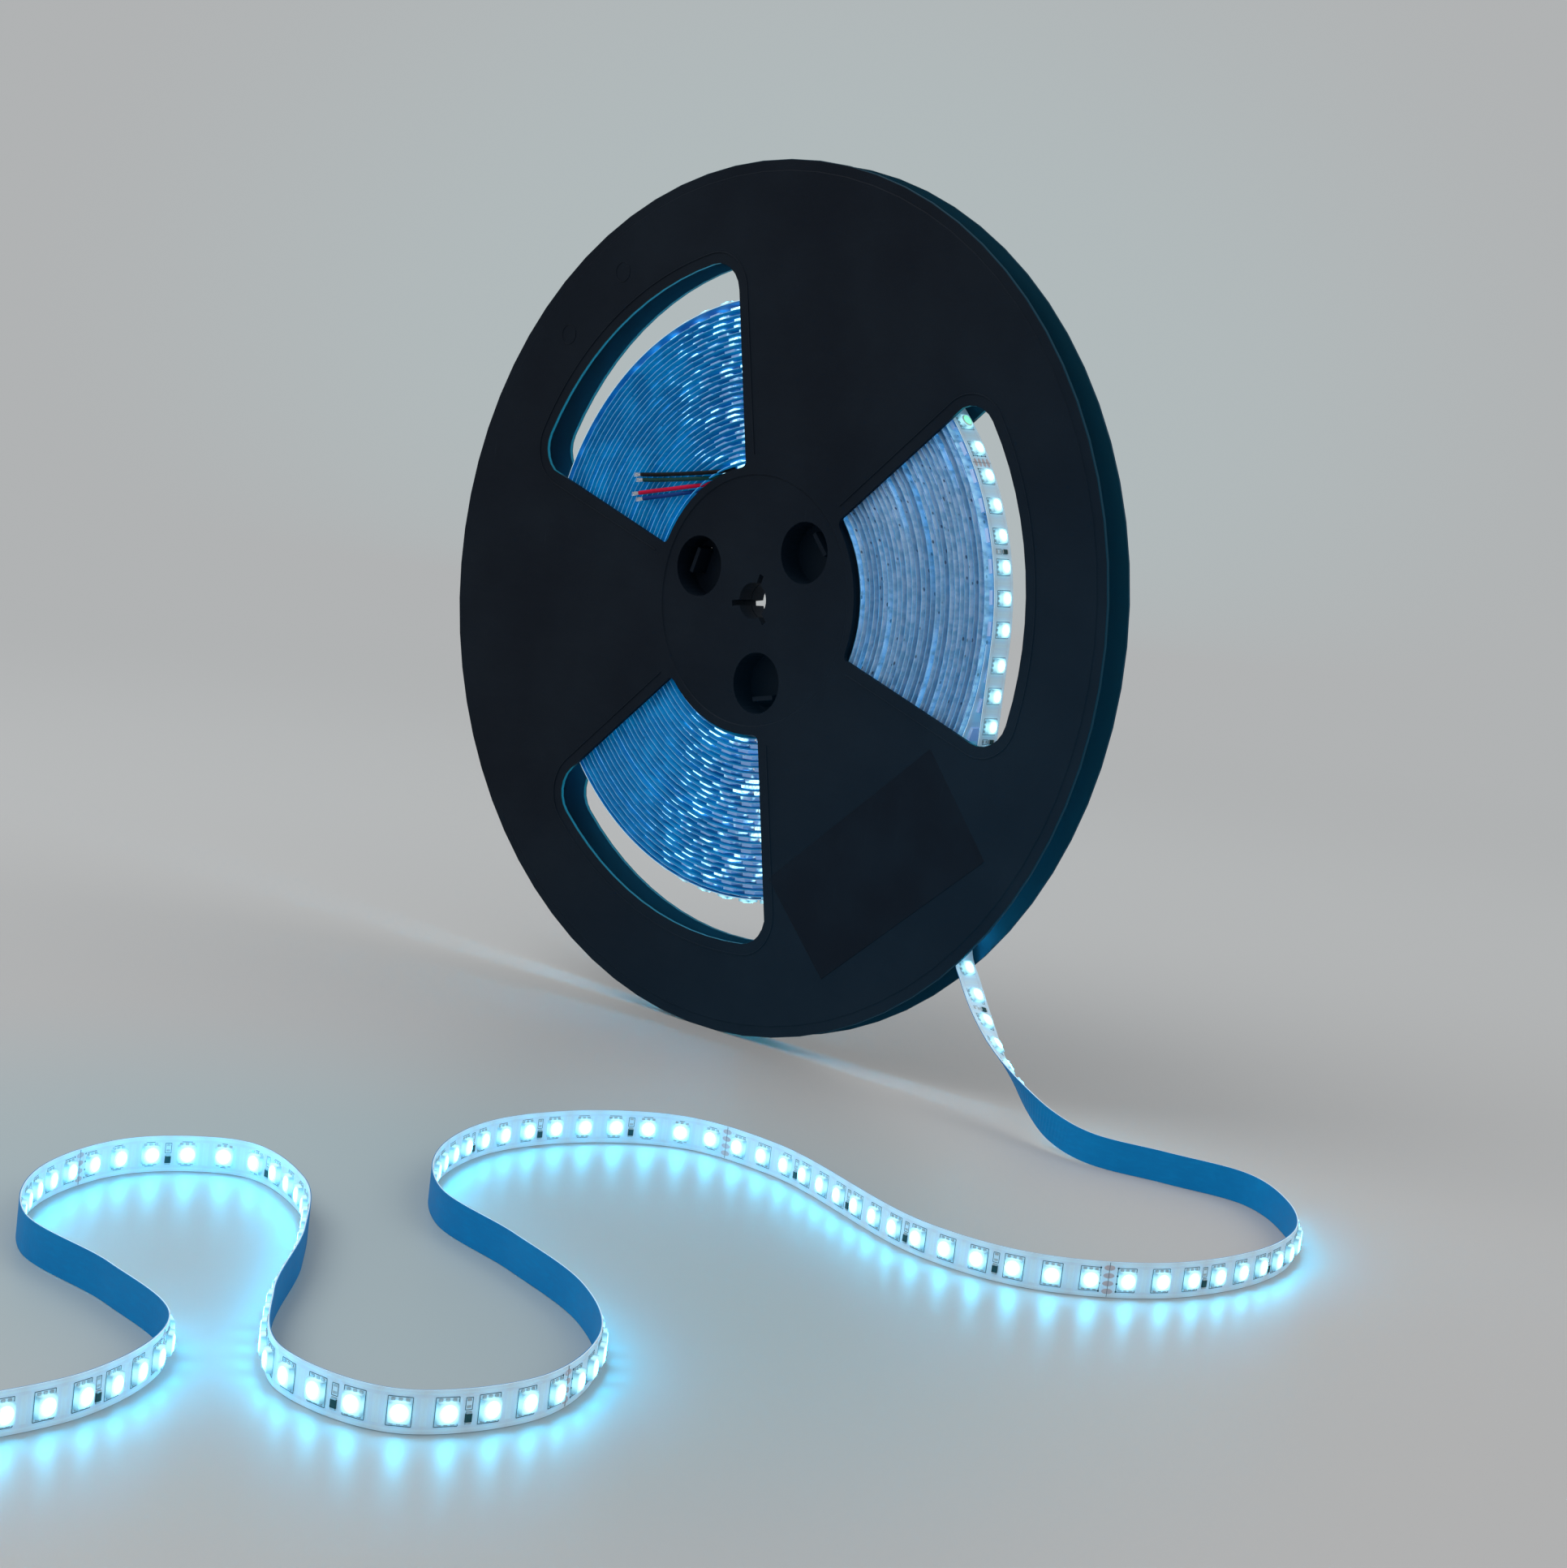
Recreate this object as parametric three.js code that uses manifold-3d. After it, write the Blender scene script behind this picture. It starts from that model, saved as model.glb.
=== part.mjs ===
// An LED strip reel standing on its rims, with the free end of its strip run out over the floor.
// Millimetres, +Z up. The reel's axis lies along Y, its front face looks along -Y, and the origin is
// the middle of the reel's footprint. Each mesh is one physical piece.
import * as THREE from "three";
import { mergeVertices } from "three/addons/utils/BufferGeometryUtils.js";
import Module from "manifold-3d";

const wasm = await Module();
wasm.setup();

// Gap left between neighbouring pieces, and how far a cut runs past what it cuts
const touchGap = 0.3;
const cutMargin = 1;

// Driving dimensions of the two moulded halves
const rimRadius = 156;
const rimSides = 72;
const flangeThickness = 1.4;
const windingGap = 10.6;
const faceStep = 0.3;
const rimLipWidth = 3.8;
const hubDiscRadius = 44.7;

// Windows, set off from the level line by the angle at which the reel came to rest
const windowCount = 3;
const restAngle = 12.5;
const windowHalfAngle = 30;
const windowOuterRadius = 123;
const windowOuterFillet = 11;
const windowInnerFillet = 2.5;
const windowLedge = 1;
const outerArcSteps = 12;
const innerArcSteps = 10;
const outerFilletSteps = 6;
const innerFilletSteps = 3;

// Hub: drum, spindle boss with its keyed bore, snap sockets and hooks
const drumRadius = 47;
const drumWall = 1.8;
const drumSides = 60;
const boreRadius = 6.5;
const boreSides = 32;
const keyReach = 10;
const keyWidth = 2;
const bossWall = 2.5;
const socketRadius = 11;
const socketWall = 1.5;
const socketSides = 32;
const socketDepth = 9.5;
const socketFloor = 1.2;
const socketPitchRadius = 29.5;
const socketAngle = 30;
const hookWidth = 9.5;
const hookThickness = 1.6;
const hookOffset = 4.6;
const hookBarb = 2;
const hookBarbHeight = 3;
const hookRise = 3.3;
const slipFit = 0.4;

// LED strip: a flexible board with square lamps, wound with its lamps outwards
const stripWidth = 10;
const stripThickness = 0.5;
const lampSide = 5;
const lampHeight = 1.6;
const lampPitch = 10.417;
const lampSink = 0.25;
const lampSeat = 0.35;
const turnCount = 28;
const turnInset = 0.05;
const turnGroove = 4;
const ridgeFoot = 0.9;
const rollSides = 36;
const lastTurnSteps = 48;
const lastTurnShare = 0.9999;
const bareLastTurn = 22;

// Leads of the strip's inner end, and the pocket in the roll that they start in
const leadDiameter = 1.5;
const leadSides = 8;
const leadSteps = 9;
const tipDiameter = 1;
const tipLength = 5;
const pocketTurns = 3;
const pocketDepth = 4.2;
const pocketFrom = 106;
const pocketTo = 147;
const pocketSteps = 5;

const degree = Math.PI / 180;
const full = 2 * Math.PI;
const innerFace = windingGap / 2;
const outerFace = innerFace + flangeThickness;
const flangeMiddle = innerFace + flangeThickness / 2;
const turnPitch = stripThickness + lampHeight;
const rollInner = drumRadius + touchGap;
const coreOuter = rollInner + turnCount * turnPitch;
const rollOuter = coreOuter + turnPitch;
const axisHeight = rimRadius * Math.cos(Math.PI / rimSides);
const windowInnerRadius = drumRadius + windowLedge;

// Where the strip's middle line goes once it leaves the roll: x, y and z of points chosen along it
const hangX = rollOuter + 0.25;
const floorZ = stripWidth / 2 + 0.15;
const hangRoute = [
  [hangX, 0, axisHeight - 1.5],
  [hangX, 0, 104],
  [hangX + 1.2, 0, 51],
  [hangX + 6.2, -0.5, 42.5],
  [hangX + 16, -3.6, 32],
  [hangX + 30, -9, 21.5],
  [hangX + 47, -15.6, 13],
  [hangX + 63, -20.8, 7.8],
  [hangX + 80, -23, floorZ + 0.3],
];
const floorRoute = [
  [214, -17],
  [241, -12.5],
  [266, -28],
  [286, -54],
  [294, -88],
  [288, -126],
  [266, -152],
  [233, -158.5],
  [155, -136],
  [121, -140],
  [104, -164],
  [101, -200],
  [118, -237],
  [150, -265],
  [190, -275],
  [230, -288.5],
  [260, -312],
  [275.5, -347],
  [266, -379.5],
  [234, -385],
  [200, -361],
  [163, -322],
  [126, -293],
  [92, -286],
  [77.5, -311],
  [90, -350],
  [124, -379],
  [166, -383.5],
  [204, -394],
  [226, -430],
  [227, -485],
];
const routeDivisions = 40;

// Lengths of run between which the strip turns from level to standing on its edge
const twistFrom = 112;
const twistTo = 195;

// Middle lines of the four leads on the roll's face: x, y across the reel and height above its middle plane
const leadHeight = stripWidth / 2 + touchGap + leadDiameter / 2;
const leadRoutes = {
  lead_black: [[-19.5, 45.2], [-25, 43.7], [-32, 42.3], [-42, 40.8], [-53, 39.3], [-63, 38.2]],
  lead_green: [[-24.2, 42.3], [-29, 40.9], [-35, 39.8], [-44, 38.5], [-54, 37.2], [-61.5, 36.4]],
  lead_red: [[-28.6, 39.5], [-33, 37.9], [-38.5, 36.5], [-46, 34.9], [-55, 33.1], [-63, 31.4]],
  lead_blue: [[-32.6, 36.6], [-36.5, 35.1], [-41.5, 33.7], [-48, 32.2], [-55, 30.8], [-60.5, 29.6]],
};
const leadRise = [2.6, 3.9, leadHeight, leadHeight, leadHeight, leadHeight];

// A closed geometry as a solid that can be joined and cut
function solid(geometry) {
  const weldDistance = 1e-4;
  const bare = geometry.clone();
  bare.deleteAttribute("normal");
  bare.deleteAttribute("uv");
  const merged = mergeVertices(bare, weldDistance);
  return new wasm.Manifold(
    new wasm.Mesh({
      numProp: 3,
      vertProperties: new Float32Array(merged.attributes.position.array),
      triVerts: new Uint32Array(merged.index.array),
    }),
  );
}

// A solid as a geometry with flat shading
function geometryOf(body) {
  const mesh = body.getMesh();
  const corners = new Float32Array(mesh.numVert * 3);
  for (let i = 0; i < mesh.numVert; i++) {
    const start = i * mesh.numProp;
    corners.set(mesh.vertProperties.subarray(start, start + 3), i * 3);
  }
  const indexed = new THREE.BufferGeometry();
  indexed.setAttribute("position", new THREE.BufferAttribute(corners, 3));
  indexed.setIndex(new THREE.BufferAttribute(new Uint32Array(mesh.triVerts), 1));
  const geometry = indexed.toNonIndexed();
  geometry.computeVertexNormals();
  return geometry;
}

const joined = (first, ...others) => others.reduce((sum, other) => sum.add(other), first);
const cutBy = (first, ...tools) => tools.reduce((rest, tool) => rest.subtract(tool), first);
const polar = (radius, angle) => new THREE.Vector2(radius * Math.cos(angle), radius * Math.sin(angle));

// Points along an arc, its end left out so that the next stretch starts there
function arcPoints(centre, radius, from, to, steps) {
  const points = [];
  for (let i = 0; i < steps; i++) points.push(polar(radius, from + ((to - from) * i) / steps).add(centre));
  return points;
}

// A solid of revolution about the reel's axis: its profile is a closed loop of radius and height
function turned(profile, sides, start = 0) {
  const loop = [...profile, profile[0]].map(([radius, height]) => new THREE.Vector2(radius, height));
  return solid(new THREE.LatheGeometry(loop, sides, start).rotateX(Math.PI / 2));
}

// A flat outline given depth along the reel's axis, from one height to another
function slab(outline, low, high) {
  const shape = new THREE.Shape(outline);
  const geometry = new THREE.ExtrudeGeometry(shape, { depth: high - low, bevelEnabled: false });
  return solid(geometry.translate(0, 0, low));
}

function disc(radius, low, high, sides) {
  const geometry = new THREE.CylinderGeometry(radius, radius, high - low, sides);
  return solid(geometry.rotateX(Math.PI / 2).translate(0, 0, (low + high) / 2));
}

// A box that stands out from the axis at an angle: its radial span, its width and its height
function radialBox(from, to, width, low, high, angle) {
  const geometry = new THREE.BoxGeometry(to - from, width, high - low);
  geometry.translate((from + to) / 2, 0, (low + high) / 2);
  return solid(geometry.rotateZ(angle));
}

// The outline of one window: two arcs, two straight radial edges and four rounded corners
function windowOutline(middle) {
  const from = middle - windowHalfAngle * degree;
  const to = middle + windowHalfAngle * degree;
  const outer = windowOuterRadius - windowOuterFillet;
  const inner = windowInnerRadius + windowInnerFillet;
  const outerFrom = from + Math.asin(windowOuterFillet / outer);
  const outerTo = to - Math.asin(windowOuterFillet / outer);
  const innerFrom = from + Math.asin(windowInnerFillet / inner);
  const innerTo = to - Math.asin(windowInnerFillet / inner);
  const axis = new THREE.Vector2();
  const quarter = Math.PI / 2;
  return [
    ...arcPoints(polar(outer, outerFrom), windowOuterFillet, from - quarter, outerFrom, outerFilletSteps),
    ...arcPoints(axis, windowOuterRadius, outerFrom, outerTo, outerArcSteps),
    ...arcPoints(polar(outer, outerTo), windowOuterFillet, outerTo, to + quarter, outerFilletSteps),
    ...arcPoints(
      polar(inner, innerTo), windowInnerFillet, to + quarter, innerTo + Math.PI, innerFilletSteps,
    ),
    ...arcPoints(axis, windowInnerRadius, innerTo, innerFrom, innerArcSteps),
    ...arcPoints(
      polar(inner, innerFrom), windowInnerFillet, innerFrom + Math.PI, from + 3 * quarter, innerFilletSteps,
    ),
  ];
}

const windowPlace = (i) => restAngle * degree + (i * full) / windowCount;
const windowAngles = Array.from({ length: windowCount }, (_, i) => windowPlace(i));
const socketAngles = windowAngles.map((angle) => angle + socketAngle * degree);
const keyAngles = windowAngles.map((angle) => angle + Math.PI / windowCount);
const cutTop = outerFace + cutMargin;

// A flange with its share of the drum and of the spindle boss; side is 1 at the front and -1 at the rear
function flangeAndHub(side) {
  const mirrored = (profile) => profile.map(([radius, height]) => [radius, -height]).reverse();
  const flip = (profile) => (side > 0 ? profile : mirrored(profile));
  const lowFace = outerFace - faceStep;
  const startRadius = boreRadius - cutMargin;
  const plate = turned(
    flip([
      [startRadius, innerFace],
      [rimRadius, innerFace],
      [rimRadius, lowFace - faceStep],
      [rimRadius - faceStep, lowFace],
      [rimRadius - rimLipWidth, lowFace],
      [rimRadius - rimLipWidth - faceStep, outerFace],
      [hubDiscRadius + faceStep, outerFace],
      [hubDiscRadius, lowFace],
      [startRadius, lowFace],
    ]),
    rimSides,
    Math.PI / rimSides,
  );
  const seam = touchGap / 2;
  const wall = (inside, outside, sides) =>
    turned(flip([[inside, seam], [outside, seam], [outside, flangeMiddle], [inside, flangeMiddle]]), sides);
  const drum = wall(drumRadius - drumWall, drumRadius, drumSides);
  const boss = wall(startRadius, keyReach + bossWall, boreSides);
  const windows = windowAngles.map((angle) => slab(windowOutline(angle), -cutTop, cutTop));
  return cutBy(joined(plate, drum, boss), ...windows);
}

// The keyed bore that the spindle goes through, cut in both halves
function keyedBore() {
  const bore = disc(boreRadius, -cutTop, cutTop, boreSides);
  const keys = keyAngles.map((angle) => radialBox(0, keyReach, keyWidth, -cutTop, cutTop, angle));
  return joined(bore, ...keys);
}

// Front half: its sockets are round cups, each with a slot in its floor for a hook of the rear half
function frontHalf() {
  const floorTop = outerFace - faceStep - socketDepth;
  const floorUnder = floorTop - socketFloor;
  const cups = [];
  const hollows = [];
  for (const angle of socketAngles) {
    const middle = polar(socketPitchRadius, angle);
    const cup = disc(socketRadius + socketWall, floorUnder, flangeMiddle, socketSides);
    const hollow = disc(socketRadius, floorTop, cutTop, socketSides);
    cups.push(cup.translate([middle.x, middle.y, 0]));
    hollows.push(hollow.translate([middle.x, middle.y, 0]));
    const slotFrom = socketPitchRadius + hookOffset - slipFit;
    const slotTo = slotFrom + hookThickness + 2 * slipFit;
    const slotWidth = hookWidth + 2 * slipFit;
    const [slotLow, slotHigh] = [floorUnder - cutMargin, floorTop + cutMargin];
    hollows.push(radialBox(slotFrom, slotTo, slotWidth, slotLow, slotHigh, angle));
  }
  return cutBy(joined(flangeAndHub(1), ...cups), ...hollows, keyedBore());
}

// Rear half: each hook goes through its slot, and its barb holds on the socket's floor
function rearHalf() {
  const floorTop = outerFace - faceStep - socketDepth;
  const catchHeight = floorTop + slipFit;
  const foot = socketPitchRadius + hookOffset;
  const back = foot + hookThickness;
  const hookOutline = [
    [foot, -flangeMiddle],
    [back, -flangeMiddle],
    [back, catchHeight],
    [back + hookBarb, catchHeight],
    [back + hookBarb / 2, catchHeight + hookBarbHeight],
    [back, hookRise],
    [foot, hookRise],
  ].map(([radius, height]) => new THREE.Vector2(radius, height));
  const shape = new THREE.Shape(hookOutline);
  const blank = new THREE.ExtrudeGeometry(shape, { depth: hookWidth, bevelEnabled: false });
  blank.translate(0, 0, -hookWidth / 2).rotateX(Math.PI / 2);
  const hooks = socketAngles.map((angle) => solid(blank.clone().rotateZ(angle)));
  const cores = socketAngles.map((angle) =>
    radialBox(back + slipFit, back + hookBarb + slipFit, hookWidth, -cutTop, cutMargin - innerFace, angle),
  );
  return cutBy(joined(flangeAndHub(-1), ...hooks), ...cores, keyedBore());
}

// One lamp as a box whose foot lies in the strip; its middle is at the origin and it faces +Y
function lampBlock() {
  const geometry = new THREE.BoxGeometry(lampSide, lampHeight + lampSink, lampSide);
  return geometry.translate(0, stripThickness / 2 + (lampHeight - lampSink) / 2, 0);
}

// The roll: every second turn's edge is a ridge over the lamps between, and the last turn shows its lamps
function stripRoll() {
  const side = stripWidth / 2;
  const front = [];
  for (let turn = 0; turn < turnCount; turn += 2) {
    const ridge = rollInner + turn * turnPitch;
    front.push(
      [ridge, side - turnInset],
      [ridge + ridgeFoot, side - turnGroove],
      [ridge + 2 * turnPitch - ridgeFoot, side - turnGroove],
    );
  }
  front.push([coreOuter, side - turnInset]);
  const rear = front.map(([radius, height]) => [radius, -height]);
  const core = turned([...rear, ...front.reverse()], rollSides);

  const radiusAt = (turn) => rollOuter - turnPitch * turn;
  const spiral = Array.from({ length: lastTurnSteps + 1 }, (_, i) => {
    const turn = i / lastTurnSteps;
    return polar(radiusAt(turn), turn * full * lastTurnShare);
  });
  const within = arcPoints(new THREE.Vector2(), coreOuter - 2 * turnPitch, full, 0, rollSides);
  const lastTurn = slab([...spiral, ...within], -side, side);

  const lamps = [];
  const sweep = lampPitch / rollOuter;
  for (let angle = sweep / 2; angle < full - bareLastTurn * degree; angle += sweep) {
    const block = lampBlock().rotateZ(-Math.PI / 2).translate(radiusAt(angle / full) - lampSeat, 0, 0);
    lamps.push(solid(block.rotateZ(angle)));
  }
  const [from, to] = [pocketFrom * degree, pocketTo * degree];
  const pocketTop = rollInner + pocketTurns * turnPitch;
  const pocketBottom = rollInner - cutMargin;
  const pocketOutline = [
    ...arcPoints(new THREE.Vector2(), pocketTop, from, to, pocketSteps),
    polar(pocketTop, to),
    polar(pocketBottom, to),
    polar(pocketBottom, from),
  ];
  return cutBy(joined(core, lastTurn, ...lamps), slab(pocketOutline, side - pocketDepth, side + cutMargin));
}

// Frames along the strip's run, one lamp pitch apart: its middle, its direction, its width and its lamp side
function runFrames() {
  const points = [...hangRoute, ...floorRoute.map(([x, y]) => [x, y, floorZ])];
  const curve = new THREE.CatmullRomCurve3(points.map((p) => new THREE.Vector3(...p)), false, "centripetal");
  curve.arcLengthDivisions = routeDivisions * points.length;
  const length = curve.getLength();
  const frames = [];
  for (let run = 0; run <= length; run += lampPitch) {
    const along = curve.getTangentAt(run / length);
    const twist = (Math.PI / 2) * THREE.MathUtils.smoothstep(run, twistFrom, twistTo);
    const across = new THREE.Vector3(0, -Math.cos(twist), Math.sin(twist));
    across.addScaledVector(along, -across.dot(along)).normalize();
    frames.push({ middle: curve.getPointAt(run / length), across, facing: across.clone().cross(along) });
  }
  return frames;
}

// The free run of strip, bent from a flat board, with a lamp in the middle of each facet
function stripRun() {
  const frames = runFrames();
  const facets = frames.length - 1;
  const board = new THREE.BoxGeometry(facets, stripThickness, stripWidth, facets, 1, 1);
  const corners = board.attributes.position;
  for (let i = 0; i < corners.count; i++) {
    const frame = frames[Math.round(corners.getX(i) + facets / 2)];
    const corner = frame.middle.clone();
    corner.addScaledVector(frame.facing, corners.getY(i));
    corner.addScaledVector(frame.across, corners.getZ(i));
    corners.setXYZ(i, corner.x, corner.y, corner.z);
  }
  const lamps = [];
  for (let i = 0; i < facets; i++) {
    const [before, after] = [frames[i], frames[i + 1]];
    const along = after.middle.clone().sub(before.middle).normalize();
    const across = before.across.clone().add(after.across);
    across.addScaledVector(along, -across.dot(along)).normalize();
    const matrix = new THREE.Matrix4().makeBasis(along, across.clone().cross(along), across);
    matrix.setPosition(before.middle.clone().lerp(after.middle, 0.5));
    lamps.push(solid(lampBlock().applyMatrix4(matrix)));
  }
  return joined(solid(board), ...lamps);
}

const circle = (radius, sides) =>
  new THREE.Shape(Array.from({ length: sides }, (_, i) => polar(radius, (i * full) / sides)));

// A lead's jacket along its middle line, and its tinned end just past it
function leadPieces(route) {
  const points = route.map(([x, y], i) => new THREE.Vector3(x, y, leadRise[i]));
  const curve = new THREE.CatmullRomCurve3(points);
  const jacket = new THREE.ExtrudeGeometry(circle(leadDiameter / 2, leadSides), {
    steps: leadSteps,
    extrudePath: curve,
  });
  const end = curve.getPoint(1);
  const along = curve.getTangent(1);
  const tip = new THREE.CylinderGeometry(tipDiameter / 2, tipDiameter / 2, tipLength, leadSides);
  tip.applyQuaternion(new THREE.Quaternion().setFromUnitVectors(new THREE.Vector3(0, 1, 0), along));
  const middle = end.addScaledVector(along, touchGap + tipLength / 2);
  return [solid(jacket), solid(tip.translate(middle.x, middle.y, middle.z))];
}

const material = (color, roughness, metalness = 0) =>
  new THREE.MeshStandardMaterial({ color, roughness, metalness, flatShading: true });

function piece(name, body, look) {
  const mesh = new THREE.Mesh(geometryOf(body), look);
  mesh.name = name;
  return mesh;
}

const blackPlastic = material("#14171c", 0.55);
const stripLook = material("#cfe9f2", 0.5);
const tinned = material("#c9ccd0", 0.3, 1);
const jacketColours = {
  lead_black: "#15161a",
  lead_green: "#0d6b4a",
  lead_red: "#c5142c",
  lead_blue: "#1d4fb4",
};

const reel = new THREE.Group();
reel.rotation.x = Math.PI / 2;
reel.position.z = axisHeight;
reel.add(piece("front_half", frontHalf(), blackPlastic));
reel.add(piece("rear_half", rearHalf(), blackPlastic));
reel.add(piece("strip_roll", stripRoll(), stripLook));
for (const [name, route] of Object.entries(leadRoutes)) {
  const [jacket, tip] = leadPieces(route);
  reel.add(piece(name, jacket, material(jacketColours[name], 0.45)));
  reel.add(piece(name + "_tip", tip, tinned));
}

const model = new THREE.Group();
model.add(reel);
model.add(piece("strip_run", stripRun(), stripLook));

export default model;
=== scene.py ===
"""An LED strip reel and the free run of its strip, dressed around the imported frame. Metres, +Z up."""

import logging
import math
from dataclasses import dataclass
from enum import Enum
from typing import Any, Callable, Mapping, Sequence

import bpy
import numpy as np
from mathutils import Matrix, Vector

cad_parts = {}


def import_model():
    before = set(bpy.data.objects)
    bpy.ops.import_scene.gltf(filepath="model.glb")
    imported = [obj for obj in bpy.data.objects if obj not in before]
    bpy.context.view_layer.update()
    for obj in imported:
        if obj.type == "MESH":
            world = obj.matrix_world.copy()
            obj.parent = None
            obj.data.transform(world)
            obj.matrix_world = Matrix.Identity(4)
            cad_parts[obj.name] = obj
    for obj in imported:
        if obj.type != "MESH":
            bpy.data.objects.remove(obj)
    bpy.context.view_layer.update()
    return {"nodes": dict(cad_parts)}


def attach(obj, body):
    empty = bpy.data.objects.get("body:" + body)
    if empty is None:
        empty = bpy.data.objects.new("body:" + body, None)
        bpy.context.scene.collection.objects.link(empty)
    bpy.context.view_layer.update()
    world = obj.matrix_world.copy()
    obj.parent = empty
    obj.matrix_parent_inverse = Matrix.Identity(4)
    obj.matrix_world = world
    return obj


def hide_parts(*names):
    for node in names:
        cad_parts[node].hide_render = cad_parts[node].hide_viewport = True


LOG = logging.getLogger("reel")
MM = 0.001
AXIS_HEIGHT = 155.852 * MM
CYAN = (0.025, 0.60, 1.0, 1.0)
DARK = (0.0, 0.0, 0.0, 1.0)
LAMP_GRAIN = 1500.0
Socket = bpy.types.NodeSocket
Piece = bpy.types.Object
Triple = Sequence[float]
Colour = tuple[float, float, float, float]
Node = bpy.types.Node
Values = Mapping[Any, Any]
Inputs = dict[str, Any]
Rows = list[tuple[str, str, Inputs]]
Point = tuple[float, float, float]
Band = tuple[float, float, float, float]
Shape = tuple[np.ndarray, list[tuple[int, ...]]]
Frames = tuple[np.ndarray, np.ndarray, np.ndarray, np.ndarray]
Material = bpy.types.Material
Mesh = bpy.types.Mesh
Looks = Mapping[str, Material]


def grey(level: float) -> Colour:
    """A neutral colour of one level."""
    return (level, level, level, 1.0)


class Signal:
    """A number that varies over a surface; arithmetic on it adds Math nodes to its graph."""

    def __init__(self, graph: "Graph", socket: Socket) -> None:
        """Keeps the socket that carries the number, and the graph that it is in."""
        self.graph = graph
        self.socket = socket

    def maths(self, operation: str, *terms: Any) -> "Signal":
        """One Math node with these inputs, as a signal."""
        node = self.graph.add("ShaderNodeMath", {"operation": operation}, dict(enumerate(terms)))
        return Signal(self.graph, node.outputs[0])

    def __add__(self, other: Any) -> "Signal":
        """self + other."""
        return self.maths("ADD", self, other)

    def __radd__(self, other: Any) -> "Signal":
        """other + self."""
        return self.maths("ADD", other, self)

    def __sub__(self, other: Any) -> "Signal":
        """self - other."""
        return self.maths("SUBTRACT", self, other)

    def __rsub__(self, other: Any) -> "Signal":
        """other - self."""
        return self.maths("SUBTRACT", other, self)

    def __mul__(self, other: Any) -> "Signal":
        """self * other."""
        return self.maths("MULTIPLY", self, other)

    def __rmul__(self, other: Any) -> "Signal":
        """other * self."""
        return self.maths("MULTIPLY", other, self)

    def __truediv__(self, other: Any) -> "Signal":
        """self / other."""
        return self.maths("DIVIDE", self, other)

    def fraction(self) -> "Signal":
        """What is left over the whole number below."""
        return self.maths("FRACT", self)

    def size(self) -> "Signal":
        """The number without its sign."""
        return self.maths("ABSOLUTE", self)

    def root(self) -> "Signal":
        """The square root."""
        return self.maths("SQRT", self)

    def at_most(self, other: Any) -> "Signal":
        """The smaller of the two."""
        return self.maths("MINIMUM", self, other)

    def at_least(self, other: Any) -> "Signal":
        """The larger of the two."""
        return self.maths("MAXIMUM", self, other)

    def ramp(self, low: float, high: float) -> "Signal":
        """0 below low and 1 above high, smoothly in between; low may be the larger one.

        Args:
            low: where the result leaves 0.
            high: where it reaches 1.

        Returns:
            A number from 0 to 1.
        """
        settings = {"interpolation_type": "SMOOTHSTEP"}
        first, last, start, end = (low, high, 0.0, 1.0) if low < high else (high, low, 1.0, 0.0)
        values = {"Value": self, "From Min": first, "From Max": last, "To Min": start, "To Max": end}
        return Signal(self.graph, self.graph.add("ShaderNodeMapRange", settings, values).outputs["Result"])

    def band(self, start: float, full: float, fade: float, end: float) -> "Signal":
        """1 from full to fade and 0 outside start and end."""
        return self.ramp(start, full) * self.ramp(end, fade)


class Graph:
    """A node tree that grows one node at a time."""

    def __init__(self, tree: bpy.types.NodeTree) -> None:
        """Keeps the tree."""
        self.tree = tree

    def feed(self, socket: Socket, value: Any) -> None:
        """Gives an input its value: a number, a colour, a signal or another node's output.

        Args:
            socket: the input.
            value: what it gets.
        """
        source = value.socket if isinstance(value, Signal) else value
        if isinstance(source, Socket):
            self.tree.links.new(source, socket)
        else:
            socket.default_value = source

    def add(self, kind: str, settings: Values | None = None, values: Values | None = None) -> Node:
        """One node.

        Args:
            kind: the node's type.
            settings: its settings by name.
            values: its inputs by name or number.

        Returns:
            The node.
        """
        node = self.tree.nodes.new(kind)
        for name, setting in (settings or {}).items():
            setattr(node, name, setting)
        for key, value in (values or {}).items():
            self.feed(node.inputs[key], value)
        return node

    def mix_vectors(self, operation: str, first: Any, second: Any) -> Node:
        """One Vector Math node on two vectors."""
        return self.add("ShaderNodeVectorMath", {"operation": operation}, {0: first, 1: second})

    def drift(self, length: Any, detail: float) -> Signal:
        """A noise along one length, from 0 to 1."""
        values = {"W": length, "Scale": 1.0, "Detail": detail}
        return Signal(self, self.add("ShaderNodeTexNoise", {"noise_dimensions": "1D"}, values).outputs[0])


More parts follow.
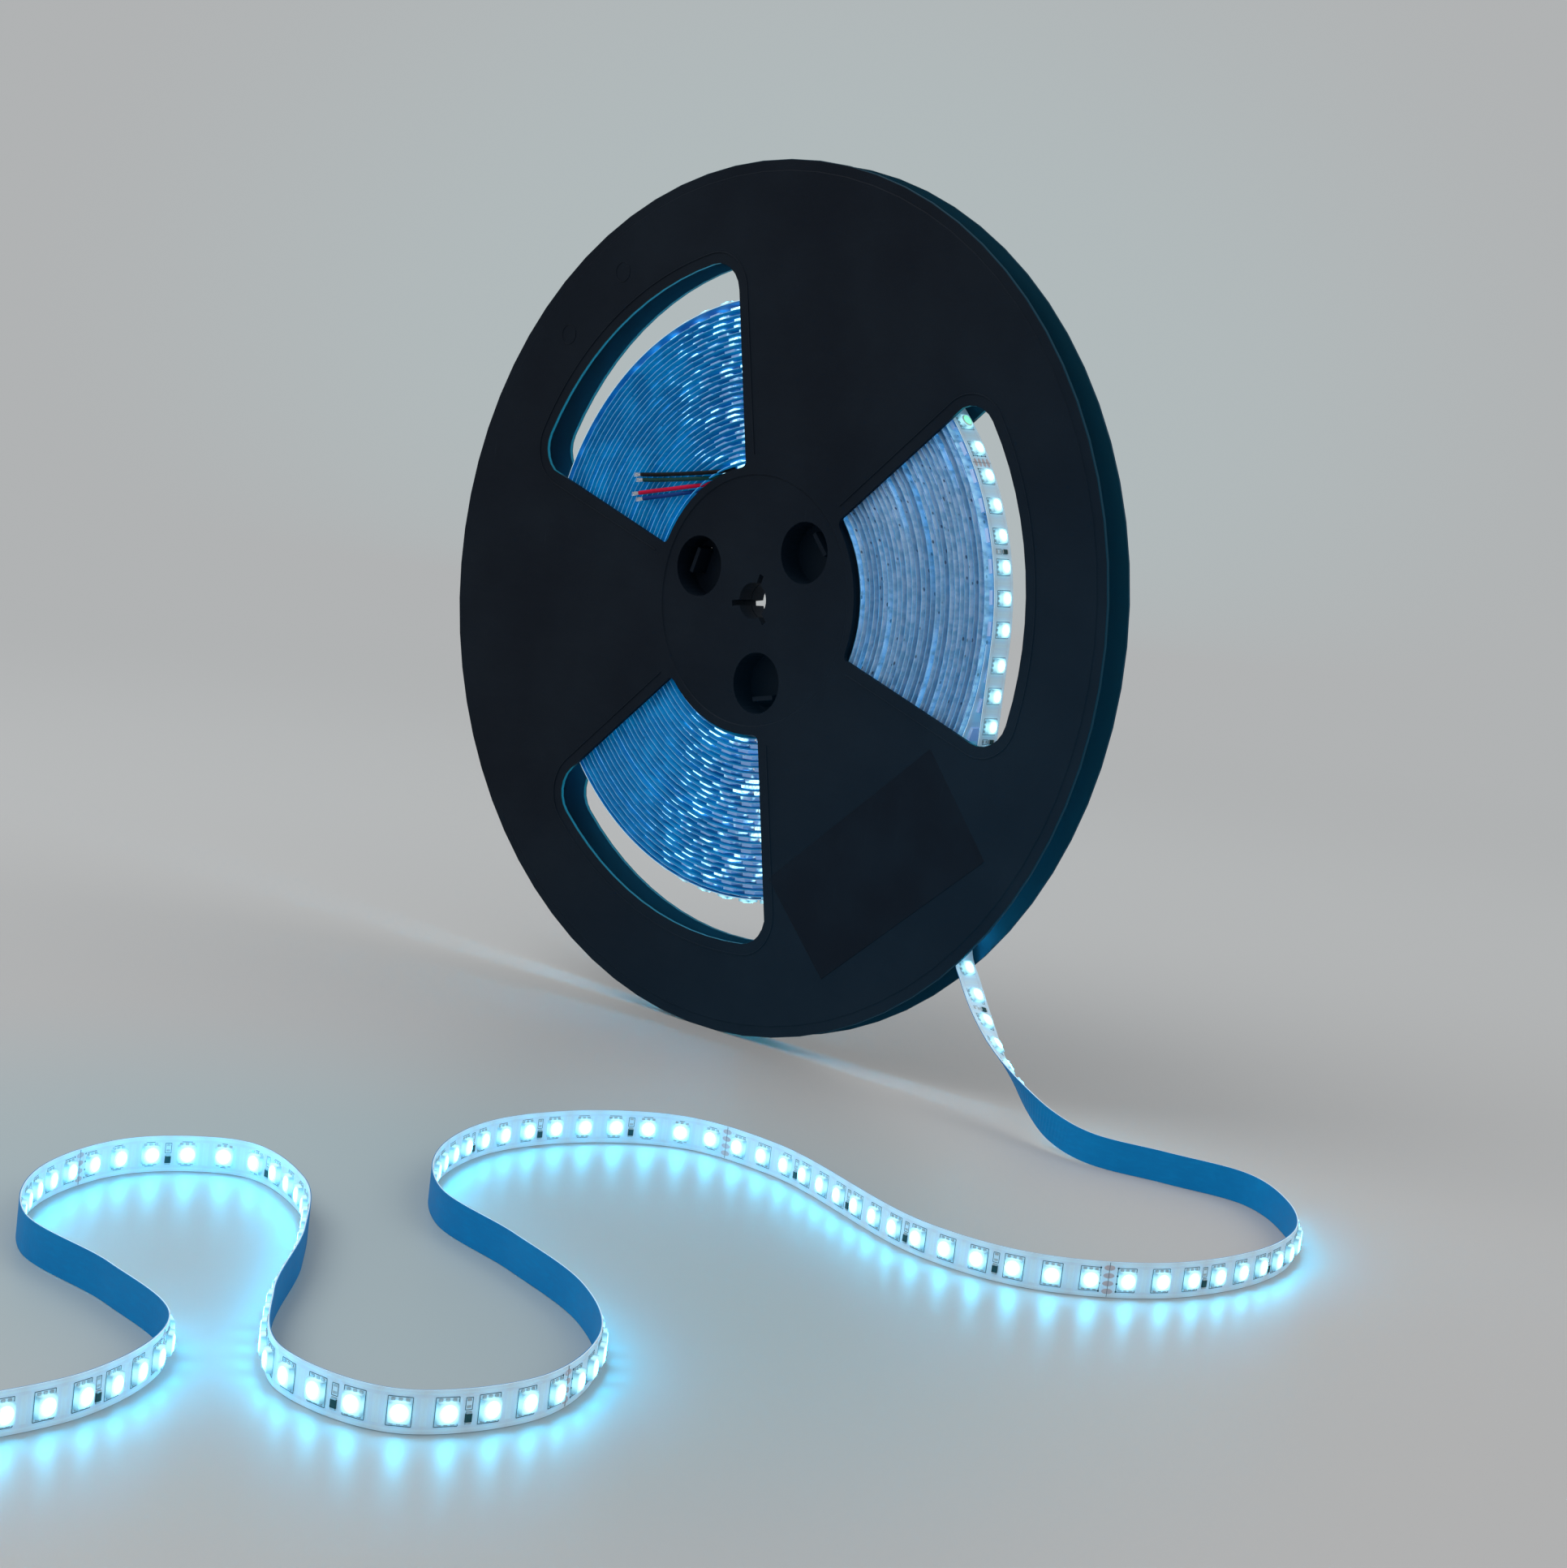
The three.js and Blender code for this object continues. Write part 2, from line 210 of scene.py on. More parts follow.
class Surface(Graph):
    """A material's node tree, with its one Principled shader."""

    def __init__(self, name: str, **constants: Any) -> None:
        """Makes the material.

        Args:
            name: the material's name.
            constants: values set directly on the shader's sockets, with _ for a blank.
        """
        self.material = bpy.data.materials.new(name)
        self.material.use_nodes = True
        super().__init__(self.material.node_tree)
        self.tree.nodes.clear()
        named = {key.replace("_", " "): value for key, value in constants.items()}
        self.shader = self.add("ShaderNodeBsdfPrincipled", values=named)
        self.output = self.add("ShaderNodeOutputMaterial", values={"Surface": self.shader.outputs[0]})

    def number(self, socket: Socket) -> Signal:
        """A socket as a signal."""
        return Signal(self, socket)

    def place(self) -> Socket:
        """The point of the surface, in the row frame."""
        return self.add("ShaderNodeTexCoord").outputs["Object"]

    def axes(self, vector: Socket) -> tuple[Signal, Signal, Signal]:
        """The three numbers of a vector."""
        node = self.add("ShaderNodeSeparateXYZ", values={0: vector})
        return tuple(self.number(node.outputs[i]) for i in range(3))

    def from_spot(self) -> Signal:
        """How far a point of a small part is from the part's own middle line.

        Returns:
            The distance in metres.
        """
        own = self.add("ShaderNodeAttribute", {"attribute_name": "spot"}).outputs["Vector"]
        x, y, _ = self.axes(own)
        return (x * x + y * y).root()

    def reel_axes(self) -> tuple[Signal, Signal, Signal, Signal]:
        """A point of the surface by the reel: right of, along and above its axis, and how far from it.

        Returns:
            The four numbers.
        """
        right, depth, height = self.axes(self.place())
        above = height - AXIS_HEIGHT
        return right, depth, above, (right * right + above * above).root()

    def noise(self, vector: Any, scale: float, detail: float = 2.0, roughness: float = 0.5) -> Signal:
        """A noise from 0 to 1 whose grains are about 1 / scale across."""
        values = {"Vector": vector, "Scale": scale, "Detail": detail, "Roughness": roughness}
        return self.number(self.add("ShaderNodeTexNoise", values=values).outputs[0])

    def cells(self, vector: Any, scale: float) -> Signal:
        """The distance to the nearest of many scattered points."""
        values = {"Vector": vector, "Scale": scale}
        return self.number(self.add("ShaderNodeTexVoronoi", values=values).outputs["Distance"])

    def stretched(self, vector: Any, scale: Triple) -> Socket:
        """A vector scaled along each axis."""
        return self.add("ShaderNodeMapping", values={"Vector": vector, "Scale": scale}).outputs[0]

    def mixed(self, share: Any, first: Any, second: Any) -> Socket:
        """Two colours mixed by a share of the second.

        Args:
            share: how much there is of the second, from 0 to 1.
            first: the colour at 0.
            second: the colour at 1.

        Returns:
            The mixed colour.
        """
        node = self.add("ShaderNodeMix", {"data_type": "RGBA"})
        self.feed(node.inputs[0], share)
        self.feed(node.inputs[6], first)
        self.feed(node.inputs[7], second)
        return node.outputs[2]

    def bump(self, height: Any, depth: float) -> None:
        """Gives the surface a relief of the given depth in metres."""
        values = {"Height": height, "Distance": depth, "Strength": 1.0}
        self.feed(self.shader.inputs["Normal"], self.add("ShaderNodeBump", values=values).outputs[0])

    def dress(self, **inputs: Any) -> Material:
        """Feeds the shader's sockets, with _ for a blank, and gives the material.

        Args:
            inputs: values by the socket's name.

        Returns:
            The material.
        """
        for key, value in inputs.items():
            self.feed(self.shader.inputs[key.replace("_", " ")], value)
        return self.material


@dataclass(frozen=True)
class BlackPlastic:
    """Moulded black plastic with a fine satin grain, flow marks and a few pale rubs, with painted teal light
    between the flanges and a faint painted glow.
    """

    name: str = "black_plastic"
    tone: Colour = (0.0012, 0.0048, 0.0112, 1.0)
    worn: Colour = (0.007, 0.014, 0.023, 1.0)
    # Painted light: teal of the plastic between the flanges, as if lit by the wound lamps.
    inner: Colour = (0.001, 0.034, 0.060, 1.0)
    inner_reach: float = 6.2 * MM
    roll_reach: float = 108.0 * MM
    # Painted glow colours: teal on the flanges' inner faces next to the roll, and a faint blue over the
    # plastic.
    wall_glow: Colour = (0.003, 0.090, 0.125, 1.0)
    painted_glow: Colour = (0.0004, 0.0050, 0.0100, 1.0)
    wall_depths: Band = (5.3 * MM, 5.6 * MM, 6.5 * MM, 6.68 * MM)
    wall_reaches: Band = (108 * MM, 112 * MM, 124 * MM, 126 * MM)
    roughness: float = 0.5
    cloud_scale: float = 22.0
    grain_scale: float = 2600.0
    grain_depth: float = 0.00003
    flow_scale: float = 60.0
    flow_stretch: Point = (1.0, 1.0, 6.0)
    rub_stretch: Point = (900.0, 900.0, 45.0)
    rub_zone_scale: float = 45.0
    speck_scale: float = 420.0

    def material(self) -> Material:
        """Builds the material.

        Returns:
            The finished material.
        """
        surface = Surface(self.name, Specular_IOR_Level=0.11, Emission_Strength=1.0)
        place = surface.place()
        cloud = surface.noise(place, self.cloud_scale, 3.0)
        grain = surface.noise(place, self.grain_scale, 2.0, 0.7)
        flow = surface.noise(surface.stretched(place, self.flow_stretch), self.flow_scale, 4.0, 0.6)
        rubs = surface.noise(surface.stretched(place, self.rub_stretch), 1.0, 2.0)
        rub_zone = surface.noise(place, self.rub_zone_scale, 1.0).ramp(0.56, 0.72)
        rub = rubs.ramp(0.66, 0.76) * rub_zone
        speck = surface.cells(place, self.speck_scale).ramp(0.10, 0.03)
        base = surface.mixed(cloud.ramp(0.3, 0.75) * 0.5, self.tone, self.worn)
        base = surface.mixed(rub * 0.5 + speck * 0.35, base, self.worn)
        right, depth, above, reach = surface.reel_axes()
        # Painted light: between the flanges and inside the roll the plastic is painted teal, as if lit by
        # the wound lamps.
        between = depth.size().ramp(self.inner_reach + 0.2 * MM, self.inner_reach)
        between = between * reach.ramp(self.roll_reach - 8 * MM, self.roll_reach)
        base = surface.mixed(between, base, self.inner)
        roughness = self.roughness + cloud * 0.12 + flow * 0.10 - rub * 0.12
        surface.bump(grain + flow * 0.5 - rub * 0.6, self.grain_depth)
        # Painted glow: a faint blue emission that grows towards the lower right of the reel.
        painted_glow = surface.mixed((right - above).ramp(-60 * MM, 200 * MM), DARK, self.painted_glow)
        # Painted glow: a ring of the flanges' inner faces just outside the roll glows teal, as if lit by the
        # wound lamps.
        wall = depth.size().band(*self.wall_depths) * reach.band(*self.wall_reaches)
        painted_glow = surface.mixed(wall, painted_glow, self.wall_glow)
        return surface.dress(Base_Color=base, Roughness=roughness, Emission_Color=painted_glow)


@dataclass(frozen=True)
class PlateGloss:
    """The smoother black of the blank plate on the flange, with fine rubs along it and a faint painted glow.
    """

    name: str = "plate_plastic"
    painted_glow: Colour = (0.0, 0.0034, 0.0080, 1.0)
    tone: Colour = (0.0012, 0.0038, 0.0088, 1.0)
    pale: Colour = (0.004, 0.009, 0.015, 1.0)
    cloud_scale: float = 35.0
    line_stretch: Point = (500.0, 500.0, 60.0)

    def material(self) -> Material:
        """Builds the material.

        Returns:
            The finished material.
        """
        surface = Surface(self.name, Specular_IOR_Level=0.11, Emission_Strength=1.0)
        place = surface.place()
        cloud = surface.noise(place, self.cloud_scale, 3.0)
        lines = surface.noise(surface.stretched(place, self.line_stretch), 1.0, 2.0)
        share = cloud.ramp(0.35, 0.8) * 0.6 + lines.ramp(0.62, 0.75) * 0.25
        base = surface.mixed(share, self.tone, self.pale)
        # Painted glow: the plate gives out a faint blue light, varied by the cloud.
        painted_glow = surface.mixed(cloud.ramp(0.2, 0.8) * 0.3 + 0.5, DARK, self.painted_glow)
        surface.bump(lines, 0.00001)
        return surface.dress(Base_Color=base, Roughness=0.42 + cloud * 0.2, Emission_Color=painted_glow)


class StripFace(Enum):
    """Where a strip's lamp side is seen: laid open, or between the turns of the roll."""

    OPEN = "open"
    WOUND = "wound"


@dataclass(frozen=True)
class BoardWhite:
    """The white lacquered lamp side of the strip: traces under the lacquer and light spilt by its lamps."""

    name: str
    face: StripFace
    pitch: float = 10.417 * MM
    glow: float = 0.34
    base: Colour = (0.64, 0.77, 0.85, 1.0)
    trace: Colour = (0.60, 0.69, 0.79, 1.0)
    spill: Colour = (0.07, 0.42, 0.66, 1.0)
    # Tones of the wound face, darker and bluer than the white face: painted shade and lamp light between the
    # turns.
    wound_base: Colour = (0.17, 0.42, 0.66, 1.0)
    wound_pale: Colour = (0.56, 0.72, 0.92, 1.0)
    wound_glow: Colour = (0.03, 0.34, 0.80, 1.0)
    # Painted shade: colour of the dark rings between the turns.
    painted_shade_line: Colour = (0.07, 0.20, 0.40, 1.0)
    # Painted light: the lighter, bluer tone of the wound face left of the axis.
    painted_left_light: Colour = (0.14, 0.52, 0.88, 1.0)
    # Painted glow: colour and radii of a glowing band just inside the outer turn.
    band: Colour = (0.20, 0.62, 0.95, 1.0)
    band_from: float = 102.5 * MM
    band_to: float = 105.5 * MM
    fine_scale: float = 420.0
    loose_per_metre: float = 5.5
    lines_per_metre: float = 900.0
    speck_scale: float = 260.0
    speck_tone: Colour = (0.02, 0.04, 0.10, 1.0)
    dust_scale: float = 900.0
    edge_trace: Band = (4.3, 4.6, 4.75, 4.95)
    rail_place: float = 3.6
    link_place: float = 3.9
    link_reach: float = 3.3

    def material(self) -> Material:
        """Builds the material."""
        return self.open_face() if self.face is StripFace.OPEN else self.wound_face()

    def wound_face(self) -> Material:
        """The face between two turns, painted darker and bluer than the open face for shade and lamp light:
        pale edges, dark specks and loose stretches that let the light out.

        Returns:
            The finished material.
        """
        surface = Surface(self.name, Specular_IOR_Level=0.3, Emission_Strength=1.0)
        place = surface.place()
        length = surface.number(surface.add("ShaderNodeAttribute", {"attribute_name": "run"}).outputs["Fac"])
        fine = surface.noise(surface.stretched(place, (1.0, 0.4, 1.0)), self.fine_scale, 2.0)
        loose = surface.drift(length * self.loose_per_metre, 2.0).ramp(0.56, 0.70)
        speck = surface.cells(surface.stretched(place, (1.4, 1.0, 0.8)), self.speck_scale).ramp(0.19, 0.10)
        base = surface.mixed(fine.ramp(0.3, 0.7) * 0.6 + 0.1, self.wound_base, self.wound_pale)
        right, _, _, reach = surface.reel_axes()
        # Painted shade: dark rings by distance from the axis, right of it only, stand for the shaded gaps
        # between the turns.
        line = surface.drift(reach * self.lines_per_metre, 2.0).ramp(0.50, 0.40)
        line = line * right.ramp(10 * MM, 50 * MM)
        base = surface.mixed(line * 0.55, base, self.painted_shade_line)
        # Painted light: left of the axis the face is painted a lighter, bluer tone and glows a little more.
        left = right.ramp(20 * MM, -10 * MM)
        base = surface.mixed(left * 0.6, base, self.painted_left_light)
        base = surface.mixed(speck * 0.85, base, self.speck_tone)
        shine = loose * 0.42 + 0.02 + left * 0.10
        lit = surface.mixed(shine * fine.ramp(0.2, 0.6), DARK, self.wound_glow)
        # Painted glow: a blue band just inside the outer turn, right of the axis.
        last = reach.ramp(self.band_from, self.band_to) * right.ramp(20 * MM, 60 * MM)
        lit = surface.mixed(last * fine.ramp(0.1, 0.7) * 0.55, lit, self.band)
        surface.bump(fine, 0.00003)
        return surface.dress(Base_Color=base, Roughness=0.45 + fine * 0.15, Emission_Color=lit)

    def open_face(self) -> Material:
        """The face laid open, by a UV map in metres along and across the strip.

        Returns:
            The finished material.
        """
        surface = Surface(self.name, Specular_IOR_Level=0.4, Emission_Strength=1.0)
        along, across, _ = surface.axes(surface.add("ShaderNodeUVMap").outputs[0])
        step = ((along / self.pitch).fraction() - 0.5) * (self.pitch / MM)
        side = across / MM
        distance = (step * step + side * side * 0.8).root()
        light = distance.ramp(7.5, 2.2)
        edge = side.size().band(*self.edge_trace)
        rails = (side.size() - self.rail_place).size().ramp(0.45, 0.3)
        links = (step.size() - self.link_place).size().ramp(0.6, 0.4)
        links = links * side.size().ramp(self.link_reach, self.link_reach - 0.2)
        copper = (rails + links * 0.8 + edge * 0.4).at_most(1.0)
        dust = surface.noise(surface.place(), self.dust_scale, 2.0)
        base = surface.mixed(copper * 0.8, self.base, self.trace)
        base = surface.mixed(dust.ramp(0.45, 0.8) * 0.15, base, self.trace)
        spilt = surface.mixed((light * 0.75 + 0.25) * self.glow, DARK, self.spill)
        surface.bump(copper * 0.7 + dust * 0.2, 0.00003)
        return surface.dress(Base_Color=base, Roughness=0.42 + dust * 0.15, Emission_Color=spilt)


@dataclass(frozen=True)
class BackingFilm:
    """The blue peel-off film on the strip's back, with a faint weave of fibres and pressed ripples; the
    wound film is painted lighter right of the axis and has a painted glow in patches.
    """

    name: str = "backing_film"
    tone: Colour = (0.0, 0.200, 0.510, 1.0)
    pale: Colour = (0.0, 0.260, 0.610, 1.0)
    # Painted light: the film's tone right of the axis, lighter in the wound film.
    painted_light_right_tone: Colour = (0.0, 0.200, 0.510, 1.0)
    lit: Colour = DARK
    fibre_stretch: Point = (220.0, 220.0, 900.0)
    cloud_scale: float = 55.0
    patch_scale: float = 75.0

    def material(self) -> Material:
        """Builds the material.

        Returns:
            The finished material.
        """
        surface = Surface(self.name, Specular_IOR_Level=0.12, Emission_Strength=1.0)
        place = surface.place()
        fibre = surface.noise(surface.stretched(place, self.fibre_stretch), 1.0, 3.0, 0.6)
        cloud = surface.noise(place, self.cloud_scale, 2.0)
        right, _, _, _ = surface.reel_axes()
        # Painted light: right of the axis the film is painted in its right-side tone, which the wound film
        # has lighter.
        plain_tone = surface.mixed(right.ramp(10 * MM, 45 * MM), self.tone, self.painted_light_right_tone)
        share = fibre.ramp(0.4, 0.75) * 0.45 + cloud.ramp(0.4, 0.8) * 0.35
        base = surface.mixed(share, plain_tone, self.pale)
        # Painted glow: patches of the film give out the lit colour, which only the wound film has above
        # black.
        patch = surface.noise(place, self.patch_scale, 3.0, 0.6).ramp(0.42, 0.68)
        surface.bump(fibre + cloud * 1.5, 0.00004)
        glow = surface.mixed(patch * 0.85 + 0.15, DARK, self.lit)
        return surface.dress(Base_Color=base, Roughness=0.45 + fibre * 0.2, Emission_Color=glow)


@dataclass(frozen=True)
class LitLens:
    """The round milky lens of a lamp, white hot in the middle and coloured at its rim."""

    name: str
    radius: float = 2.15 * MM
    strength: float = 42.0
    light: Colour = CYAN
    rim: Colour = (0.012, 0.020, 0.022, 1.0)
    core_from: float = 0.94
    core_to: float = 0.66

    def material(self) -> Material:
        """Builds the material.

        Returns:
            The finished material.
        """
        surface = Surface(self.name, Emission_Strength=self.strength, Base_Color=(0.8, 0.93, 0.97, 1.0))
        core = (surface.from_spot() / self.radius).ramp(self.core_from, self.core_to)
        grain = surface.noise(surface.place(), LAMP_GRAIN, 2.0)
        lit = surface.mixed(core, self.rim, self.light)
        surface.bump(grain, 0.00002)
        return surface.dress(Emission_Color=lit, Roughness=0.3 + grain * 0.2)


@dataclass(frozen=True)
class LitHousing:
    """The white square body of a lamp, lit from its lens outwards."""

    name: str = "lamp_housing"
    lens: float = 2.15 * MM
    fade: float = 1.3 * MM
    body: Colour = (0.42, 0.60, 0.70, 1.0)
    near: Colour = (0.42, 0.90, 1.00, 1.0)
    far: Colour = (0.02, 0.16, 0.22, 1.0)
    pale: Colour = (0.55, 0.72, 0.80, 1.0)

    def material(self) -> Material:
        """Builds the material.

        Returns:
            The finished material.
        """
        surface = Surface(self.name, Emission_Strength=1.0, Specular_IOR_Level=0.3)
        halo = (surface.from_spot() - self.lens).ramp(self.fade, -0.1 * MM)
        grain = surface.noise(surface.place(), LAMP_GRAIN, 2.0)
        lit = surface.mixed(halo, self.far, self.near)
        base = surface.mixed(grain.ramp(0.4, 0.7) * 0.3, self.body, self.pale)
        surface.bump(grain, 0.00002)
        return surface.dress(Base_Color=base, Emission_Color=lit, Roughness=0.35 + grain * 0.2)


@dataclass(frozen=True)
class WoundLamp:
    """A lamp between two turns: on the left some shine out brightly, on the right none are seen."""

    name: str = "wound_lamp"
    strength: float = 2.4
    bright: Colour = (0.42, 0.86, 1.0, 1.0)
    dull: Colour = (0.012, 0.045, 0.10, 1.0)
    pick_scale: float = 140.0
    grain_scale: float = 1100.0

    def material(self) -> Material:
        """Builds the material.

        Returns:
            The finished material.
        """
        surface = Surface(self.name, Emission_Strength=self.strength, Base_Color=(0.60, 0.62, 0.74, 1.0))
        right, _, _, _ = surface.reel_axes()
        pick = surface.noise(surface.place(), self.pick_scale, 1.0).ramp(0.48, 0.60)
        pick = pick * right.ramp(30 * MM, 10 * MM)
        grain = surface.noise(surface.place(), self.grain_scale, 2.0)
        lit = surface.mixed(pick * grain.ramp(0.2, 0.6), self.dull, self.bright)
        surface.bump(grain, 0.00002)
        return surface.dress(Emission_Color=lit, Roughness=0.35 + grain * 0.2)


@dataclass(frozen=True)
class Coated:
    """A small part's own colour with a little variation: ink, ceramic, jacket or tin."""

    name: str
    tone: Colour
    pale: Colour
    roughness: float = 0.4
    metallic: float = 0.0
    specular: float = 0.3
    grain: float = 1400.0
    relief: float = 0.00002

    def material(self) -> Material:
        """Builds the material.

        Returns:
            The finished material.
        """
        surface = Surface(self.name, Metallic=self.metallic, Specular_IOR_Level=self.specular)
        place = surface.place()
        fine = surface.noise(place, self.grain, 2.0)
        broad = surface.noise(place, self.grain / 12, 2.0)
        base = surface.mixed(fine.ramp(0.4, 0.7) * 0.35 + broad.ramp(0.4, 0.7) * 0.35, self.tone, self.pale)
        surface.bump(fine, self.relief)
        return surface.dress(Base_Color=base, Roughness=self.roughness + broad * 0.15)


def linked(name: str, data: bpy.types.ID) -> Piece:
    """A new object of the scene.

    Args:
        name: the object's name.
        data: its mesh, light or camera.

    Returns:
        The object.
    """
    piece = bpy.data.objects.new(name, data)
    bpy.context.scene.collection.objects.link(piece)
    return piece


def bare_mesh(name: str, points: Any, edges: Any = (), faces: Any = ()) -> Mesh:
    """A mesh from rows of numbers.

    Args:
        name: the mesh's name.
        points: its points.
        edges: pairs of point numbers.
        faces: rows of point numbers.

    Returns:
        The mesh.
    """
    mesh = bpy.data.meshes.new(name)
    mesh.from_pydata([tuple(float(x) for x in p) for p in points], list(edges), [tuple(f) for f in faces])
    return mesh


def mesh_piece(
    name: str, vertices: Any, faces: Any, materials: Sequence[Material] = (), smooth: bool = False
) -> Piece:
    """A new object at the origin, with its place in its mesh.

    Args:
        name: the piece's name.
        vertices: its points in the row frame.
        faces: its faces as rows of point numbers.
        materials: its materials, the first one used by every face.
        smooth: whether its faces are shaded smoothly.

    Returns:
        The object, linked to the scene.
    """
    mesh = bare_mesh(name, vertices, faces=faces)
    for material in materials:
        mesh.materials.append(material)
    mesh.polygons.foreach_set("use_smooth", [smooth] * len(mesh.polygons))
    mesh.update()
    return linked(name, mesh)


def station_mesh(name: str, points: Any, along: Any, facing: Any) -> Mesh:
    """Loose points that carry the direction along the strip and the way that it faces.

    Args:
        name: the mesh's name.
        points: the places on the strip.
        along: the strip's direction at each.
        facing: the way that its face looks at each.

    Returns:
        The mesh.
    """
    mesh = bare_mesh(name, points)
    for key, rows in (("along", along), ("facing", facing)):
        attribute = mesh.attributes.new(key, "FLOAT_VECTOR", "POINT")
        attribute.data.foreach_set("vector", np.asarray(rows, np.float32).ravel())
    return mesh


def line_mesh(name: str, points: Any, closed: bool = False) -> Mesh:
    """A line of edges through points."""
    count = len(points)
    return bare_mesh(name, points, [(i, (i + 1) % count) for i in range(count if closed else count - 1)])


class GeometryTree(Graph):
    """A geometry tree with named inputs, whose result becomes a plain mesh."""

    def __init__(self, name: str) -> None:
        """Makes the tree with its geometry input and output.

        Args:
            name: the tree's name.
        """
        super().__init__(bpy.data.node_groups.new(name, "GeometryNodeTree"))
        for side in ("INPUT", "OUTPUT"):
            self.tree.interface.new_socket("Geometry", in_out=side, socket_type="NodeSocketGeometry")
        self.entry = self.add("NodeGroupInput")
        self.exit = self.add("NodeGroupOutput")

    def input(self, name: str, kind: str) -> Socket:
        """Adds a named input of a kind such as Float, Int, Vector or Material."""
        self.tree.interface.new_socket(name, in_out="INPUT", socket_type="NodeSocket" + kind)
        return self.entry.outputs[name]

    def geometry(self) -> Socket:
        """The geometry that the tree starts from."""
        return self.entry.outputs["Geometry"]

    def stored(self, geometry: Socket, name: str, value: Socket, kind: str = "FLOAT_VECTOR") -> Socket:
        """The geometry with a value of each point kept under a name.

        Args:
            geometry: what carries the value.
            name: what the value is kept under.
            value: the value of each point.
            kind: the value's type.

        Returns:
            The geometry with its value.
        """
        settings = {"data_type": kind, "domain": "POINT"}
        values = {"Geometry": geometry, "Name": name, "Value": value}
        return self.add("GeometryNodeStoreNamedAttribute", settings, values).outputs[0]

    def recalled(self, name: str) -> Socket:
        """A direction kept at each point under a name."""
        vector = {"data_type": "FLOAT_VECTOR"}
        return self.add("GeometryNodeInputNamedAttribute", vector, {"Name": name}).outputs["Attribute"]

    def stood(self, points: Socket, stud: Socket, out: Socket, along: Socket) -> Socket:
        """A copy of a stud on every point, turned to the directions out of the face and along it.

        Args:
            points: where the copies stand.
            stud: what is copied.
            out: the direction out of the face.
            along: the direction along it.

        Returns:
            The copies.
        """
        axes = {"primary_axis": "Z", "secondary_axis": "X"}
        turn = self.add("FunctionNodeAxesToRotation", axes, {0: out, 1: along}).outputs[0]
        values = {"Points": points, "Instance": stud, "Rotation": turn}
        return self.add("GeometryNodeInstanceOnPoints", values=values).outputs[0]

    def swept(self, line: Socket, section: Node) -> Socket:
        """A section swept along a line, with closed ends."""
        values = {"Curve": line, "Profile Curve": section.outputs[0], "Fill Caps": True}
        return self.add("GeometryNodeCurveToMesh", values=values).outputs[0]

    def finish(self, geometry: Socket) -> None:
        """Ends the tree in Realize Instances and Set Material.

        Args:
            geometry: what the tree has made.
        """
        finish = self.input("Finish", "Material")
        real = self.add("GeometryNodeRealizeInstances", values={"Geometry": geometry}).outputs[0]
        dressed = self.add("GeometryNodeSetMaterial", values={"Geometry": real, "Material": finish})
        self.feed(self.exit.inputs["Geometry"], dressed.outputs[0])

    def grow(self, name: str, start: Mesh, values: Mapping[str, Any]) -> Piece:
        """Runs the tree on a mesh.

        Args:
            name: the new piece's name.
            start: the mesh that the tree starts from.
            values: the tree's inputs by name.

        Returns:
            The result as an object with a plain mesh and no modifier.
        """
        piece = linked(name, start)
        modifier = piece.modifiers.new("grow", "NODES")
        modifier.node_group = self.tree
        for item in self.tree.interface.items_tree:
            if item.in_out == "INPUT" and item.name in values:
                modifier[item.identifier] = values[item.name]
        depsgraph = bpy.context.evaluated_depsgraph_get()
        shown = piece.evaluated_get(depsgraph)
        mesh = bpy.data.meshes.new_from_object(shown, preserve_all_data_layers=True, depsgraph=depsgraph)
        piece.modifiers.remove(modifier)
        piece.data = mesh
        return piece


def add_stud(tree: GeometryTree) -> Socket:
    """A tapered block or disc in a tree: x along the strip, y across it and z out of its face.

    Args:
        tree: the tree, which gains the stud's named inputs.

    Returns:
        The stud's geometry.
    """
    cone = tree.add(
        "GeometryNodeMeshCone",
        {"fill_type": "NGON"},
        {
            "Vertices": tree.input("Sides", "Int"),
            "Radius Top": tree.input("Top Radius", "Float"),
            "Radius Bottom": tree.input("Base Radius", "Float"),
            "Depth": tree.input("Height", "Float"),
        },
    )
    turned = tree.add(
        "GeometryNodeTransform",
        values={"Geometry": cone.outputs["Mesh"], "Rotation": (0.0, 0.0, math.pi / 4)},
    )
    placed = tree.add(
        "GeometryNodeTransform",
        values={
            "Geometry": turned.outputs[0],
            "Translation": tree.input("Shift", "Vector"),
            "Scale": tree.input("Stretch", "Vector"),
        },
    )
    own = tree.add("GeometryNodeInputPosition").outputs[0]
    return tree.stored(placed.outputs[0], "spot", own)


def stud_row_tree() -> GeometryTree:
    """A stud on every station of a row.

    Returns:
        The tree.
    """
    tree = GeometryTree("stud_row")
    stud = add_stud(tree)
    tree.finish(tree.stood(tree.geometry(), stud, tree.recalled("facing"), tree.recalled("along")))
    return tree


